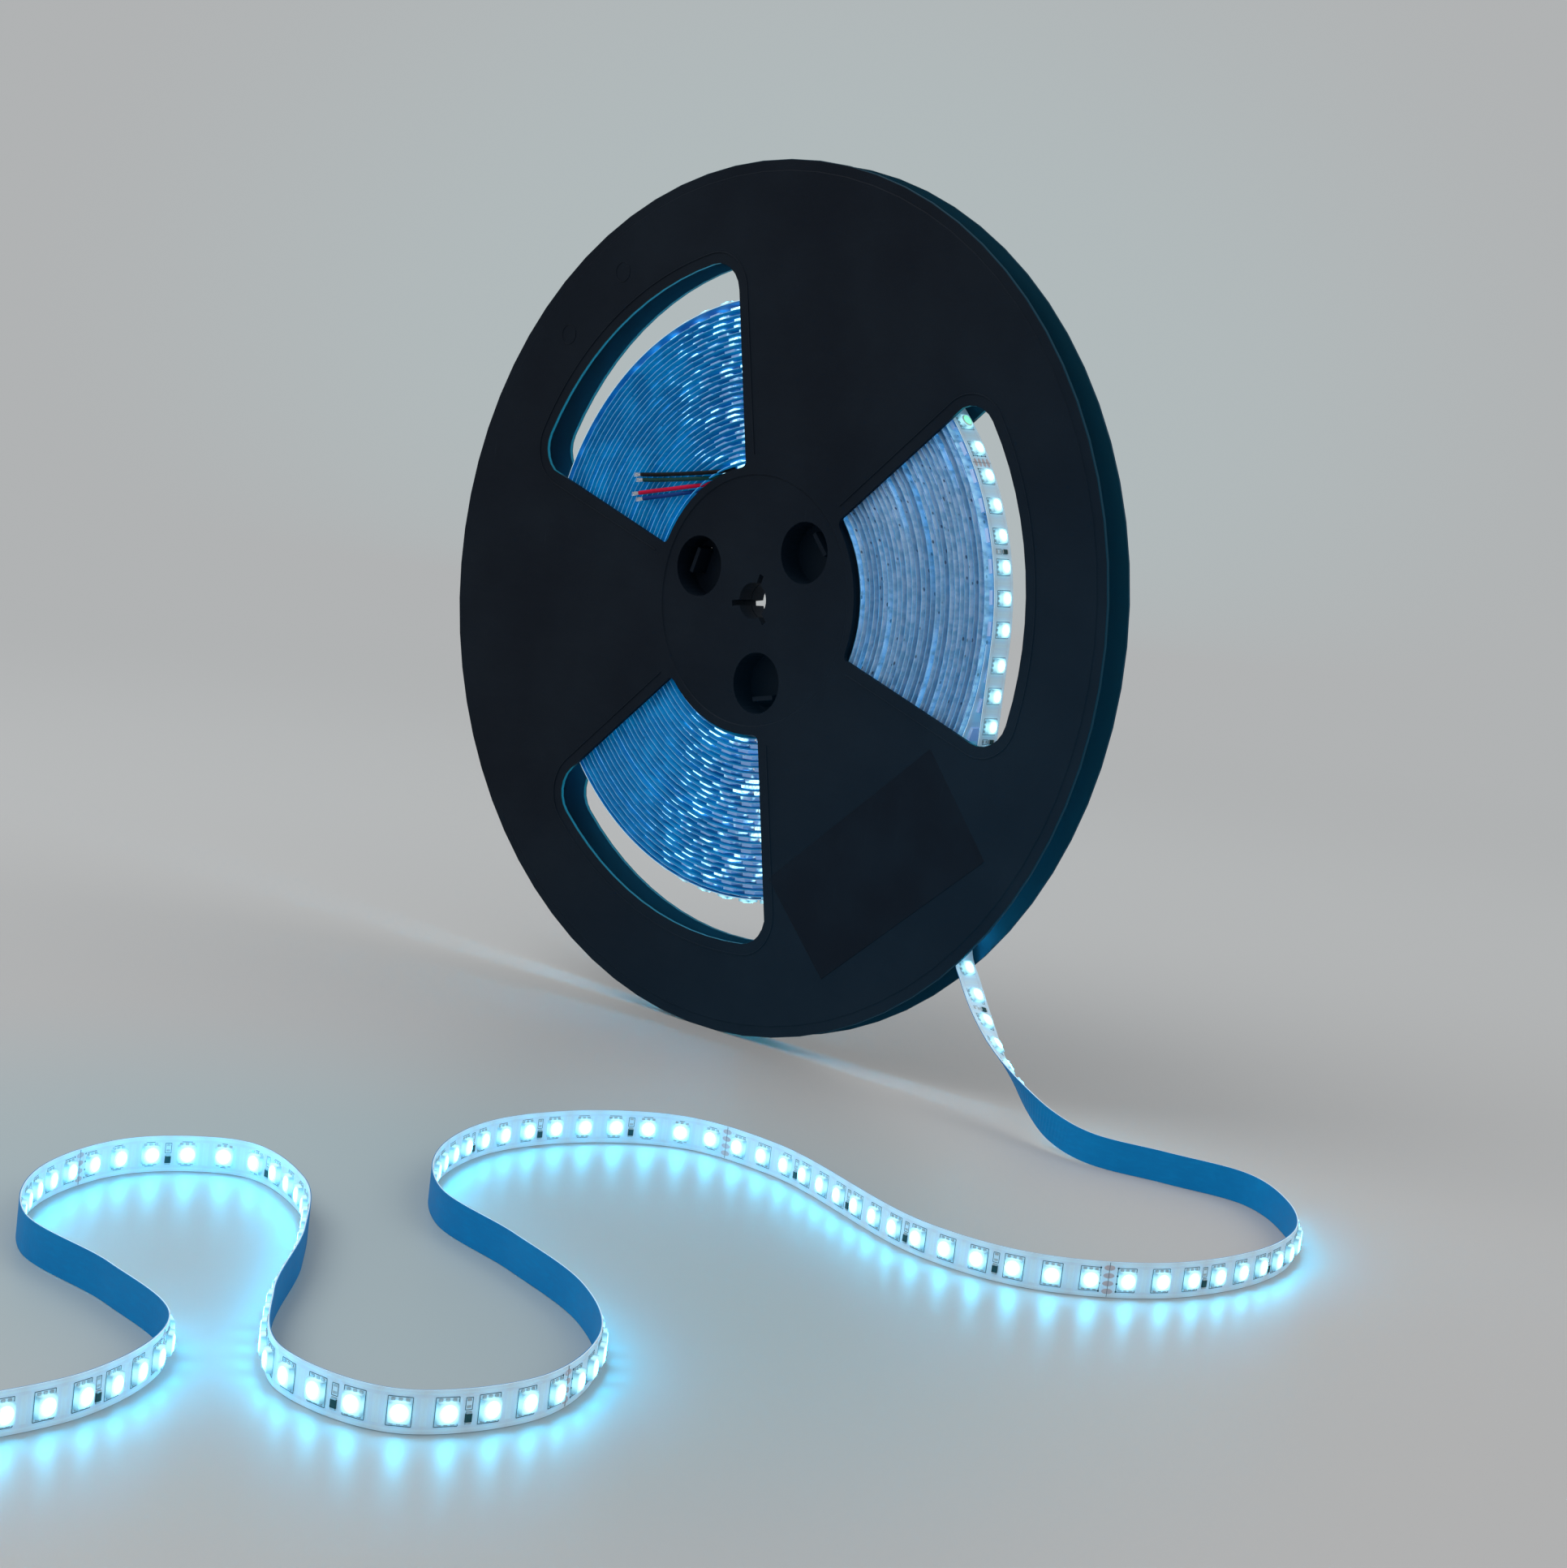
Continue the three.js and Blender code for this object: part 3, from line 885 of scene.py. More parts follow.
def add_spiral(tree: GeometryTree) -> Socket:
    """The wound strip's line in a tree, from its outer turn inwards, round the Z axis.

    Args:
        tree: the tree, which gains the spiral's named inputs.

    Returns:
        The line.
    """
    spiral = tree.add(
        "GeometryNodeCurveSpiral",
        values={
            "Resolution": tree.input("Steps", "Int"),
            "Rotations": tree.input("Turns", "Float"),
            "Start Radius": tree.input("Outer Radius", "Float"),
            "End Radius": tree.input("Inner Radius", "Float"),
            "Height": 0.0,
        },
    )
    length = Signal(tree, tree.add("GeometryNodeSplineParameter").outputs["Length"])
    waves = tree.input("Waves Per Metre", "Float")

    def wander(start: float) -> Signal:
        """A smooth wander from -1 to 1 along the strip."""
        return (tree.drift(length * waves + start, 1.0) - 0.5) * 2.0

    calm = length.ramp(0.0, 0.4)
    outwards = tree.add("GeometryNodeInputPosition").outputs[0]
    unit = tree.add("ShaderNodeVectorMath", {"operation": "NORMALIZE"}, {0: outwards})
    swell = wander(0.0) * tree.input("Looseness", "Float") * calm
    radial = tree.add("ShaderNodeVectorMath", {"operation": "SCALE"}, {0: unit.outputs[0], "Scale": swell})
    sway = wander(40.0) * tree.input("Sway", "Float") * calm
    axial = tree.add("ShaderNodeCombineXYZ", values={"Z": sway})
    both = tree.mix_vectors("ADD", radial.outputs[0], axial.outputs[0]).outputs[0]
    values = {"Geometry": spiral.outputs[0], "Offset": both}
    return tree.add("GeometryNodeSetPosition", values=values).outputs[0]


def upright(tree: GeometryTree, geometry: Socket) -> Socket:
    """Turns what lies round the Z axis onto the reel's own axis.

    Args:
        tree: the tree, which gains an input for the axis's place.
        geometry: what is turned.

    Returns:
        The turned geometry.
    """
    place = tree.input("Axis Place", "Vector")
    values = {"Geometry": geometry, "Translation": place, "Rotation": (math.pi / 2, 0.0, 0.0)}
    return tree.add("GeometryNodeTransform", values=values).outputs[0]


def wound_layer_tree() -> GeometryTree:
    """One layer of the wound strip: a flat band swept along the spiral.

    Returns:
        The tree.
    """
    tree = GeometryTree("wound_layer")
    line = tree.add("GeometryNodeSetCurveNormal", {"mode": "Z_UP"}, {"Curve": add_spiral(tree)})
    length = tree.add("GeometryNodeSplineParameter").outputs["Length"]
    marked = tree.stored(line.outputs[0], "run", length, "FLOAT")
    section = tree.add(
        "GeometryNodeCurvePrimitiveQuadrilateral",
        values={"Width": tree.input("Thickness", "Float"), "Height": tree.input("Width", "Float")},
    )
    tree.finish(upright(tree, tree.swept(marked, section)))
    return tree


def wound_stud_tree() -> GeometryTree:
    """Studs a pitch apart along the wound strip, facing outwards.

    Returns:
        The tree.
    """
    tree = GeometryTree("wound_studs")
    stud = add_stud(tree)
    points = tree.add(
        "GeometryNodeCurveToPoints",
        {"mode": "LENGTH"},
        {"Curve": add_spiral(tree), "Length": tree.input("Pitch", "Float")},
    )
    outwards = tree.add("GeometryNodeInputPosition").outputs[0]
    copies = tree.stood(points.outputs["Points"], stud, outwards, points.outputs["Tangent"])
    tree.finish(upright(tree, copies))
    return tree


def bead_tree() -> GeometryTree:
    """A round bead swept along a line of edges.

    Returns:
        The tree.
    """
    tree = GeometryTree("bead")
    line = tree.add("GeometryNodeMeshToCurve", values={"Mesh": tree.geometry()})
    round_section = {"Resolution": 8, "Radius": tree.input("Radius", "Float")}
    section = tree.add("GeometryNodeCurvePrimitiveCircle", values=round_section)
    tree.finish(tree.swept(line.outputs[0], section))
    return tree


class Route:
    """A smooth line through chosen points: a centripetal Catmull-Rom spline, walked by its length."""

    def __init__(self, points: Sequence[Triple], steps: int = 60) -> None:
        """Samples the line closely.

        Args:
            points: what the line goes through, in metres.
            steps: samples between two neighbouring points.
        """
        rows = np.asarray(points, float)
        ends = [2 * rows[0] - rows[1], *rows, 2 * rows[-1] - rows[-2]]
        samples = []
        for p0, p1, p2, p3 in zip(ends, ends[1:], ends[2:], ends[3:]):
            d0, d1, d2 = (math.sqrt(float(np.linalg.norm(b - a))) for a, b in ((p0, p1), (p1, p2), (p2, p3)))
            t1 = d1 * ((p1 - p0) / d0 - (p2 - p0) / (d0 + d1) + (p2 - p1) / d1)
            t2 = d1 * ((p2 - p1) / d1 - (p3 - p1) / (d1 + d2) + (p3 - p2) / d2)
            w = (np.arange(steps) / steps)[:, None]
            cubic = (2 * p1 - 2 * p2 + t1 + t2) * w**3 + (3 * p2 - 3 * p1 - 2 * t1 - t2) * w**2
            samples.append(cubic + t1 * w + p1)
        self.samples = np.vstack([*samples, rows[-1:]])
        gaps = np.linalg.norm(np.diff(self.samples, axis=0), axis=1)
        self.runs = np.concatenate([[0.0], np.cumsum(gaps)])

    @property
    def length(self) -> float:
        """The line's whole length."""
        return float(self.runs[-1])

    def at(self, runs: Any) -> np.ndarray:
        """The points at these lengths along the line."""
        return np.stack([np.interp(runs, self.runs, self.samples[:, i]) for i in range(3)], axis=1)

    def along(self, runs: Any, reach: float = 0.0004) -> np.ndarray:
        """The line's direction at these lengths.

        Args:
            runs: lengths from the line's start.
            reach: how far to each side it is measured.

        Returns:
            A unit vector for each length.
        """
        ahead = self.at(np.minimum(np.asarray(runs) + reach, self.length))
        behind = self.at(np.maximum(np.asarray(runs) - reach, 0.0))
        way = ahead - behind
        return way / np.linalg.norm(way, axis=1)[:, None]


def tube(points: np.ndarray, radius: float, sides: int) -> Shape:
    """A closed round tube along points.

    Args:
        points: its middle line.
        radius: its radius.
        sides: how many sides its section has.

    Returns:
        Its vertices and faces.
    """
    way = np.gradient(points, axis=0)
    way /= np.linalg.norm(way, axis=1)[:, None]
    lead = np.cross(way[0], (0.3, 1.0, 0.2))
    rings = []
    for point, forward in zip(points, way):
        lead = lead - forward * np.dot(lead, forward)
        lead /= np.linalg.norm(lead)
        other = np.cross(forward, lead)
        angles = np.arange(sides) * 2 * math.pi / sides
        rings.append(point + radius * (np.cos(angles)[:, None] * lead + np.sin(angles)[:, None] * other))
    faces = [
        (k * sides + i, k * sides + (i + 1) % sides, (k + 1) * sides + (i + 1) % sides, (k + 1) * sides + i)
        for k in range(len(points) - 1)
        for i in range(sides)
    ]
    last = (len(points) - 1) * sides
    faces.append(tuple(reversed(range(sides))))
    faces.append(tuple(range(last, last + sides)))
    return np.vstack(rings), faces


def joined(name: str, pieces: Sequence[Piece]) -> Piece:
    """One piece in place of several with the first one's material; a piece alone stays as it is.

    Args:
        name: the piece's name.
        pieces: the pieces, which are taken away.

    Returns:
        The one piece.
    """
    if len(pieces) == 1:
        pieces[0].name = name
        return pieces[0]
    vertices, faces = [], []
    for piece in pieces:
        first = len(vertices)
        vertices += [tuple(point.co) for point in piece.data.vertices]
        faces += [tuple(first + i for i in face.vertices) for face in piece.data.polygons]
    mesh = pieces[0].data
    material = mesh.materials[mesh.polygons[0].material_index]
    for piece in pieces:
        bpy.data.objects.remove(piece)
    return mesh_piece(name, vertices, faces, [material])


def settled(piece: Piece) -> Piece:
    """Sets a piece on the body and reports it.

    Args:
        piece: the piece.

    Returns:
        The same piece.
    """
    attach(piece, "root")
    LOG.info("piece %s: %d faces", piece.name, len(piece.data.polygons))
    return piece


def on_circle(middle: Sequence[float], radius: float, angles: Sequence[float]) -> list[tuple[float, float]]:
    """The points of a circle at these angles."""
    return [(middle[0] + radius * math.cos(a), middle[1] + radius * math.sin(a)) for a in angles]


@dataclass
class PhotoCamera:
    """The camera at the photograph's place, angle and lens."""

    place: Point = (0.743555, -0.817022, 0.236)
    heading: float = math.radians(41.5405)
    dip: float = math.radians(7.4735)
    roll: float = math.radians(7.0)
    lens: float = 70.807
    sensor: float = 36.0

    def build(self) -> None:
        """Makes the camera and sets it as the scene's."""
        level = Vector((math.cos(self.heading), math.sin(self.heading), 0.0))
        flat = math.cos(self.dip)
        ahead = Vector((-math.sin(self.heading) * flat, math.cos(self.heading) * flat, -math.sin(self.dip)))
        up = level.cross(ahead)
        right = level * math.cos(self.roll) + up * math.sin(self.roll)
        top = up * math.cos(self.roll) - level * math.sin(self.roll)
        data = bpy.data.cameras.new("photo_camera")
        data.lens = self.lens
        data.sensor_width = self.sensor
        data.clip_start = 0.01
        camera = linked("photo_camera", data)
        turn = Matrix((right, top, -ahead)).transposed().to_4x4()
        camera.matrix_world = Matrix.Translation(self.place) @ turn
        bpy.context.scene.camera = camera


@dataclass
class Studio:
    """A pale seamless floor that rises into a round backdrop, soft light from above and a plain world."""

    floor_reach: float = 2.2
    curve: float = 0.9
    wall: float = 2.2
    blend_from: float = 0.6
    blend_to: float = 1.35
    floor_tone: Colour = (0.462, 0.462, 0.462, 1.0)
    painted_rear_light: Colour = (0.520, 0.535, 0.540, 1.0)
    far_tone: Colour = (0.438, 0.450, 0.455, 1.0)
    # Painted light: cyan of the halo on the backdrop behind the reel.
    painted_reel_halo: Colour = (0.438, 0.490, 0.500, 1.0)
    reel_back: Point = (-2.02, 2.30, 0.05)
    # Painted light and shade: floor colour near the run, cyan and less red.
    painted_run_glow_and_shade: Colour = (0.340, 0.455, 0.495, 1.0)
    run_middle: Point = (0.150, -0.290, 0.0)
    world_level: float = 0.62
    key_power: float = 26.0
    fill_power: float = 26.0 * 0.35
    key_place: Point = (-0.9, -1.3, 2.3)
    key_side: float = 1.8
    fill_place: Point = (1.6, 0.9, 1.9)
    fill_side: float = 1.6
    aim: Point = (0.1, -0.15, 0.12)
    run_from: float = 0.29
    run_full: float = 0.08
    reel_from: float = 1.15
    reel_full: float = 0.45
    sides: int = 96

    def profile(self) -> list[tuple[float, float]]:
        """Radius and height of the floor and backdrop, from the middle outwards.

        Returns:
            Pairs of radius and height.
        """
        steps = [self.floor_reach * (i / 14) ** 1.5 for i in range(1, 15)]
        flat, curve = self.floor_reach, self.curve
        angles = [i * math.pi / 24 for i in range(1, 13)]
        rise = [(flat + curve * math.sin(a), curve * (1 - math.cos(a))) for a in angles]
        return [(r, 0.0) for r in steps] + rise + [(flat + curve, curve + self.wall)]

    def cover(self) -> Material:
        """The floor's material, which passes into an even backdrop far from the object, but for a painted
        cyan halo behind the reel.

        Returns:
            The finished material.
        """
        surface = Surface("studio_floor", Specular_IOR_Level=0.7)
        place = surface.place()
        x, y, z = surface.axes(place)
        distance = (x * x + y * y + z * z).root()
        far = distance.ramp(self.blend_from, self.blend_to)
        cloud = surface.noise(place, 3.0, 2.0)
        # Painted light: the floor is painted lighter towards the back left, to make up for weaker light
        # there.
        base = surface.mixed((y * 0.7 - x * 0.7).ramp(-0.45, 0.55), self.floor_tone, self.painted_rear_light)
        base = surface.mixed(cloud * 0.1, base, grey(0.43))
        # Painted light and shade: around the run the floor is painted cyan and less red, for the glow of the
        # strip's lamps and its shadow.
        from_run = surface.mix_vectors("DISTANCE", place, self.run_middle).outputs["Value"]
        near_run = surface.number(from_run).ramp(self.run_from, self.run_full)
        base = surface.mixed(near_run * 0.8, base, self.painted_run_glow_and_shade)
        surface.dress(Base_Color=base, Roughness=0.46)
        seen = surface.add("ShaderNodeLightPath")
        mirrored = surface.number(seen.outputs["Is Glossy Ray"])
        eye = surface.number(seen.outputs["Is Camera Ray"]).at_least(mirrored)
        # Painted light: far away the backdrop takes a cyan halo round a point behind the reel, as if lit by
        # the lamps.
        from_reel = surface.mix_vectors("DISTANCE", place, self.reel_back).outputs["Value"]
        halo = surface.number(from_reel).ramp(self.reel_from, self.reel_full)
        tinted = surface.mixed(halo, self.far_tone, self.painted_reel_halo)
        even = surface.add("ShaderNodeEmission", values={"Color": tinted, "Strength": 1.0})
        clear = surface.add("ShaderNodeBsdfTransparent")
        shown = surface.add("ShaderNodeMixShader", values={0: eye, 1: clear.outputs[0], 2: even.outputs[0]})
        near = surface.shader.outputs[0]
        both = surface.add("ShaderNodeMixShader", values={0: far, 1: near, 2: shown.outputs[0]})
        surface.feed(surface.output.inputs["Surface"], both.outputs[0])
        return surface.material

    def build(self) -> None:
        """Makes the floor, the lights and the world."""
        sides, rings = self.sides, self.profile()
        angles = [i * 2 * math.pi / sides for i in range(sides)]
        vertices = [(0.0, 0.0, 0.0)]
        for radius, height in rings:
            vertices += [(x, y, height) for x, y in on_circle((0.0, 0.0), radius, angles)]
        faces: list[tuple[int, ...]] = [(0, 1 + i, 1 + (i + 1) % sides) for i in range(sides)]
        for k in range(len(rings) - 1):
            low, high = 1 + k * sides, 1 + (k + 1) * sides
            for i in range(sides):
                j = (i + 1) % sides
                faces.append((low + i, high + i, high + j, low + j))
        floor = mesh_piece("studio_floor", vertices, faces, [self.cover()], smooth=True)
        self.lamp("key_light", self.key_place, self.key_side, self.key_power)
        self.lamp("fill_light", self.fill_place, self.fill_side, self.fill_power)
        world = bpy.data.worlds.new("studio_world")
        world.use_nodes = True
        graph = Graph(world.node_tree)
        world.node_tree.nodes.clear()
        sky = graph.add("ShaderNodeBackground", values={"Color": grey(1.0), "Strength": self.world_level})
        graph.add("ShaderNodeOutputWorld", values={"Surface": sky.outputs[0]})
        bpy.context.scene.world = world
        bpy.context.scene.view_settings.view_transform = "Standard"

    def lamp(self, name: str, place: Triple, side: float, power: float) -> None:
        """A square soft light that points at the object.

        Args:
            name: the light's name.
            place: where it hangs.
            side: how wide it is.
            power: its power in watts.
        """
        data = bpy.data.lights.new(name, "AREA")
        data.shape = "SQUARE"
        data.size = side
        data.energy = power
        lamp = linked(name, data)
        aim = Vector(self.aim) - Vector(place)
        lamp.matrix_world = Matrix.Translation(place) @ aim.to_track_quat("-Z", "Y").to_matrix().to_4x4()


@dataclass(frozen=True)
class ReelPlace:
    """How the reel stands: its own x, y and height above its middle plane become row coordinates."""

    axis_height: float = AXIS_HEIGHT

    def point(self, x: float, y: float, height: float) -> Vector:
        """A point of the reel in the row frame."""
        return Vector((x, -height, self.axis_height + y))


@dataclass
class FaceParts:
    """What is soldered and printed on the strip's lamp side, as rows of studs."""

    pitch: float = 10.417 * MM
    lamp_side: float = 5.0 * MM
    lamp_height: float = 1.6 * MM
    lens_radius: float = 2.15 * MM
    line: float = 0.15 * MM
    outline_length: float = 5.5 * MM
    outline_across: float = 6.7 * MM
    foot_share: float = 0.84
    lens_taper: float = 0.86
    leg: Point = (0.9 * MM, 0.7 * MM, 0.25 * MM)
    leg_pitch: float = 1.6 * MM
    leg_place: float = 2.75 * MM
    chip: Point = (1.6 * MM, 2.0 * MM, 0.5 * MM)
    chip_ends: Point = (1.4 * MM, 3.0 * MM, 0.42 * MM)
    chip_place: float = 1.6 * MM
    spare_pad: Point = (1.1 * MM, 0.6 * MM, 0.05 * MM)
    spare_places: tuple[float, float] = (-0.9 * MM, -2.5 * MM)
    spare_outline: tuple[float, float] = (1.7 * MM, 2.8 * MM)
    cut_line: Point = (0.11 * MM, 9.6 * MM, 0.09 * MM)
    cut_pad: Point = (3.2 * MM, 1.5 * MM, 0.06 * MM)
    cut_dot: Point = (0.55 * MM, 0.55 * MM, 0.05 * MM)
    pad_pitch: float = 2.2 * MM
    dot_reach: float = 2.5 * MM
    ink_height: float = 0.03 * MM
    flat_taper: float = 0.99
    disc_sides: int = 16
    chips_every: int = 3
    cuts_every: int = 15
    cuts_first: int = 8

    @staticmethod
    def block(
        size: Point, x: float = 0.0, y: float = 0.0, z: float = 0.0, taper: float = 0.95, sides: int = 4
    ) -> Inputs:
        """Inputs of a stud with its foot at x along, y across and z out of the strip.

        Args:
            size: its length along the strip, its width across it and its height.
            x: its place along the strip.
            y: its place across it.
            z: the height of its foot.
            taper: how much of its foot's size its top has.
            sides: four for a block, and more for an oval.

        Returns:
            The tree's inputs by name.
        """
        radius = math.sqrt(0.5) if sides == 4 else 0.5
        return {
            "Sides": sides,
            "Base Radius": radius,
            "Top Radius": radius * taper,
            "Height": size[2],
            "Stretch": (size[0], size[1], 1.0),
            "Shift": (x, y, z),
        }

    def disc(
        self, size: Point, x: float = 0.0, y: float = 0.0, taper: float = 0.96, **rest: float
    ) -> Inputs:
        """Inputs of an oval stud, whose arguments are those of a block."""
        return self.block(size, x, y, taper=taper, sides=self.disc_sides, **rest)

    def frame(self, length: float, across: float, y: float = 0.0) -> list[Inputs]:
        """The four printed lines of a box.

        Args:
            length: its size along the strip.
            across: its size across it.
            y: the place of its middle across it.

        Returns:
            The four studs' inputs.
        """
        line, ink, taper = self.line, self.ink_height, self.flat_taper
        ends, sides = (-length / 2, length / 2), (y + across / 2, y - across / 2)
        rows = [self.block((line, across, ink), x, y, taper=taper) for x in ends]
        return rows + [self.block((length, line, ink), 0.0, side, taper=taper) for side in sides]

    def lamp_rows(self) -> Rows:
        """Name, finish and inputs of every row at the lamps.

        Returns:
            The rows.
        """
        foot = self.lamp_height * self.foot_share
        lens = 2 * self.lens_radius
        rows = [("lamp_housings", "housing", self.block((self.lamp_side, self.lamp_side, foot)))]
        dome = (lens, lens, self.lamp_height - foot)
        rows.append(("lamp_lenses", "lens", self.disc(dome, z=foot, taper=self.lens_taper)))
        for side in (1.0, -1.0):
            for k in (-1, 0, 1):
                leg = self.block(self.leg, k * self.leg_pitch, side * self.leg_place)
                rows.append(("lamp_legs", "tin", leg))
        outline = self.frame(self.outline_length, self.outline_across)
        return rows + [("lamp_outlines", "ink", inputs) for inputs in outline]

    def chip_rows(self) -> Rows:
        """Name, finish and inputs of every row at the resistors.

        Returns:
            The rows.
        """
        low = self.chip_place
        rows = [
            ("resistors", "ceramic", self.block(self.chip, y=low)),
            ("resistor_ends", "tin", self.block(self.chip_ends, y=low)),
        ]
        rows += [("spare_pads", "tin", self.block(self.spare_pad, y=y)) for y in self.spare_places]
        return rows + [("spare_outlines", "ink", inputs) for inputs in self.frame(*self.spare_outline, -low)]

    def cut_rows(self) -> Rows:
        """Name, finish and inputs of every row at the cutting lines.

        Returns:
            The rows.
        """
        rows = [("cut_lines", "ink", self.block(self.cut_line, taper=self.flat_taper))]
        for k in range(4):
            y = (k - 1.5) * self.pad_pitch
            rows.append(("cut_pads", "copper", self.disc(self.cut_pad, y=y)))
            for x in (-self.dot_reach, self.dot_reach):
                rows.append(("cut_dots", "ink", self.disc(self.cut_dot, x, y)))
        return rows

    def dress(
        self,
        prefix: str,
        count: int,
        backwards: bool,
        stations: Callable[[np.ndarray, str], Mesh],
        looks: Looks,
        row: GeometryTree,
    ) -> list[Piece]:
        """Sets every part on a stretch of strip.

        Args:
            prefix: what the pieces' names start with.
            count: how many lamps the stretch has.
            backwards: whether the stretch is counted from the run's start into the roll.
            stations: gives loose points on the strip's face at lengths along the stretch.
            looks: the materials by name.
            row: the tree that sets studs on stations.

        Returns:
            The pieces.
        """
        lamps = (np.arange(count) + 0.5) * self.pitch
        gaps = np.arange(1, count)
        order = -(gaps + 1) if backwards else gaps - 1
        cut = order % self.cuts_every == self.cuts_first
        chip = (order % self.chips_every == self.cuts_first % self.chips_every) & ~cut
        kinds = (
            (lamps, self.lamp_rows()),
            (gaps[chip] * self.pitch, self.chip_rows()),
            (gaps[cut] * self.pitch, self.cut_rows()),
        )
        grown: dict[str, list[Piece]] = {}
        for runs, rows in kinds:
            for name, look, inputs in rows if len(runs) else ():
                start = stations(runs, prefix + name)
                piece = row.grow(prefix + name, start, {**inputs, "Finish": looks[look]})
                grown.setdefault(prefix + name, []).append(piece)
        return [settled(joined(name, rows)) for name, rows in grown.items()]


@dataclass
class Ribbon:
    """The strip's bare board with the film behind it, swept along frames."""

    width: float = 10.0 * MM
    thickness: float = 0.5 * MM
    film: float = 0.2 * MM

    def sweep(
        self,
        name: str,
        runs: np.ndarray,
        frames: tuple[np.ndarray, np.ndarray, np.ndarray],
        materials: Sequence[Material],
    ) -> Piece:
        """Makes a stretch of the board: lamp side and edges white, film side blue.

        Args:
            name: the piece's name.
            runs: lengths along the strip, kept in its UV map.
            frames: the middles, the directions across and the lamp side's directions there.
            materials: the white face's and the film's materials.

        Returns:
            The board, with a UV map in metres.
        """
        middle, across, facing = frames
        half, top, low = self.width / 2, self.thickness / 2, -self.thickness / 2
        seam = low + self.film
        section = [(-half, top), (half, top), (half, seam), (half, low), (-half, low), (-half, seam)]
        rings = [middle + across * a + facing * f for a, f in section]
        vertices = np.stack(rings, axis=1).reshape(-1, 3)
        count = len(section)
        faces, slots, marks = [], [], []
        for k in range(len(runs) - 1):
            for i in range(count):
                j = (i + 1) % count
                faces.append((k * count + i, (k + 1) * count + i, (k + 1) * count + j, k * count + j))
                slots.append(0 if i in (0, 1, 5) else 1)
                a, b = section[i][0], section[j][0]
                marks += [(runs[k], a), (runs[k + 1], a), (runs[k + 1], b), (runs[k], b)]
        last = (len(runs) - 1) * count
        faces += [tuple(range(count)), tuple(last + i for i in reversed(range(count)))]
        slots += [0, 0]
        marks += [(runs[0], section[i][0]) for i in range(count)]
        marks += [(runs[-1], section[i][0]) for i in reversed(range(count))]
        piece = mesh_piece(name, vertices, faces, materials)
        piece.data.polygons.foreach_set("material_index", slots)
        layer = piece.data.uv_layers.new(name="run_map")
        layer.data.foreach_set("uv", np.asarray(marks, np.float32).ravel())
        return piece


@dataclass
class StripRun:
    """The strip's free run: its bent board with the film behind, and everything soldered to its face."""

    ribbon: Ribbon
    parts: FaceParts
    twist_from: float = 112.0 * MM
    twist_to: float = 195.0 * MM
    rings_per_pitch: int = 6
    hang: float = 108.45
    floor: float = 5.15

    def points(self) -> list[Point]:
        """The points that the run's middle line goes through, in metres.

        Returns:
            The points in order from the roll.
        """
        hang, floor = self.hang, self.floor
        rows = [
            (hang, 0.0, 154.352), (hang, 0.0, 104.0), (hang + 1.2, 0.0, 51.0), (hang + 6.2, -0.5, 42.5),
            (hang + 16.0, -3.6, 32.0), (hang + 30.0, -9.0, 21.5), (hang + 47.0, -15.6, 13.0),
            (hang + 63.0, -20.8, 7.8), (hang + 80.0, -23.0, floor + 0.3),
        ]
        flat = [
            (214.0, -17.0), (241.0, -12.5), (266.0, -28.0), (286.0, -54.0), (294.0, -88.0), (288.0, -126.0),
            (266.0, -152.0), (233.0, -158.5), (155.0, -136.0), (121.0, -140.0), (104.0, -164.0),
            (101.0, -200.0), (118.0, -237.0), (150.0, -265.0), (190.0, -275.0), (230.0, -288.5),
            (260.0, -312.0), (275.5, -347.0), (266.0, -379.5), (234.0, -385.0), (200.0, -361.0),
            (163.0, -322.0), (126.0, -293.0), (92.0, -286.0), (77.5, -311.0), (90.0, -350.0),
            (124.0, -379.0), (166.0, -383.5), (204.0, -394.0), (226.0, -430.0), (227.0, -485.0),
        ]
        rows += [(x, y, floor) for x, y in flat]
        return [(x * MM, y * MM, z * MM) for x, y, z in rows]

    def frames(self, route: Route, runs: np.ndarray) -> Frames:
        """The strip's middle, direction, width and lamp side at lengths along its run.

        Args:
            route: the run's middle line.
            runs: the lengths.

        Returns:
            One row of vectors for each of the four.
        """
        along = route.along(runs)
        share = np.clip((runs - self.twist_from) / (self.twist_to - self.twist_from), 0.0, 1.0)
        twist = math.pi / 2 * share * share * (3 - 2 * share)
        across = np.stack([np.zeros_like(twist), -np.cos(twist), np.sin(twist)], axis=1)
        across -= along * np.sum(across * along, axis=1)[:, None]
        across /= np.linalg.norm(across, axis=1)[:, None]
        return route.at(runs), along, across, np.cross(across, along)

    def build(self, looks: Looks, row: GeometryTree) -> None:
        """Makes the run and says that it is a cord.

        Args:
            looks: the materials by name.
            row: the tree that sets studs along the run.
        """
        route = Route(self.points())
        pitch = self.parts.pitch
        lamps = math.floor(route.length / pitch)
        runs = np.linspace(0.0, lamps * pitch, lamps * self.rings_per_pitch + 1)
        middle, _, across, facing = self.frames(route, runs)
        board = self.ribbon.sweep(
            "strip_run_board", runs, (middle, across, facing), [looks["board_open"], looks["film"]]
        )

        def stations(places: np.ndarray, name: str) -> Mesh:
            """Loose points on the run's lamp side."""
            foot, along, _, out = self.frames(route, places)
            return station_mesh(name, foot + out * (self.ribbon.thickness / 2), along, out)

        pieces = self.parts.dress("run_", lamps, False, stations, looks, row)
        settled(board)
        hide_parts("strip_run")
        LOG.info("cord strip_run_board: %.3f m", lamps * pitch)


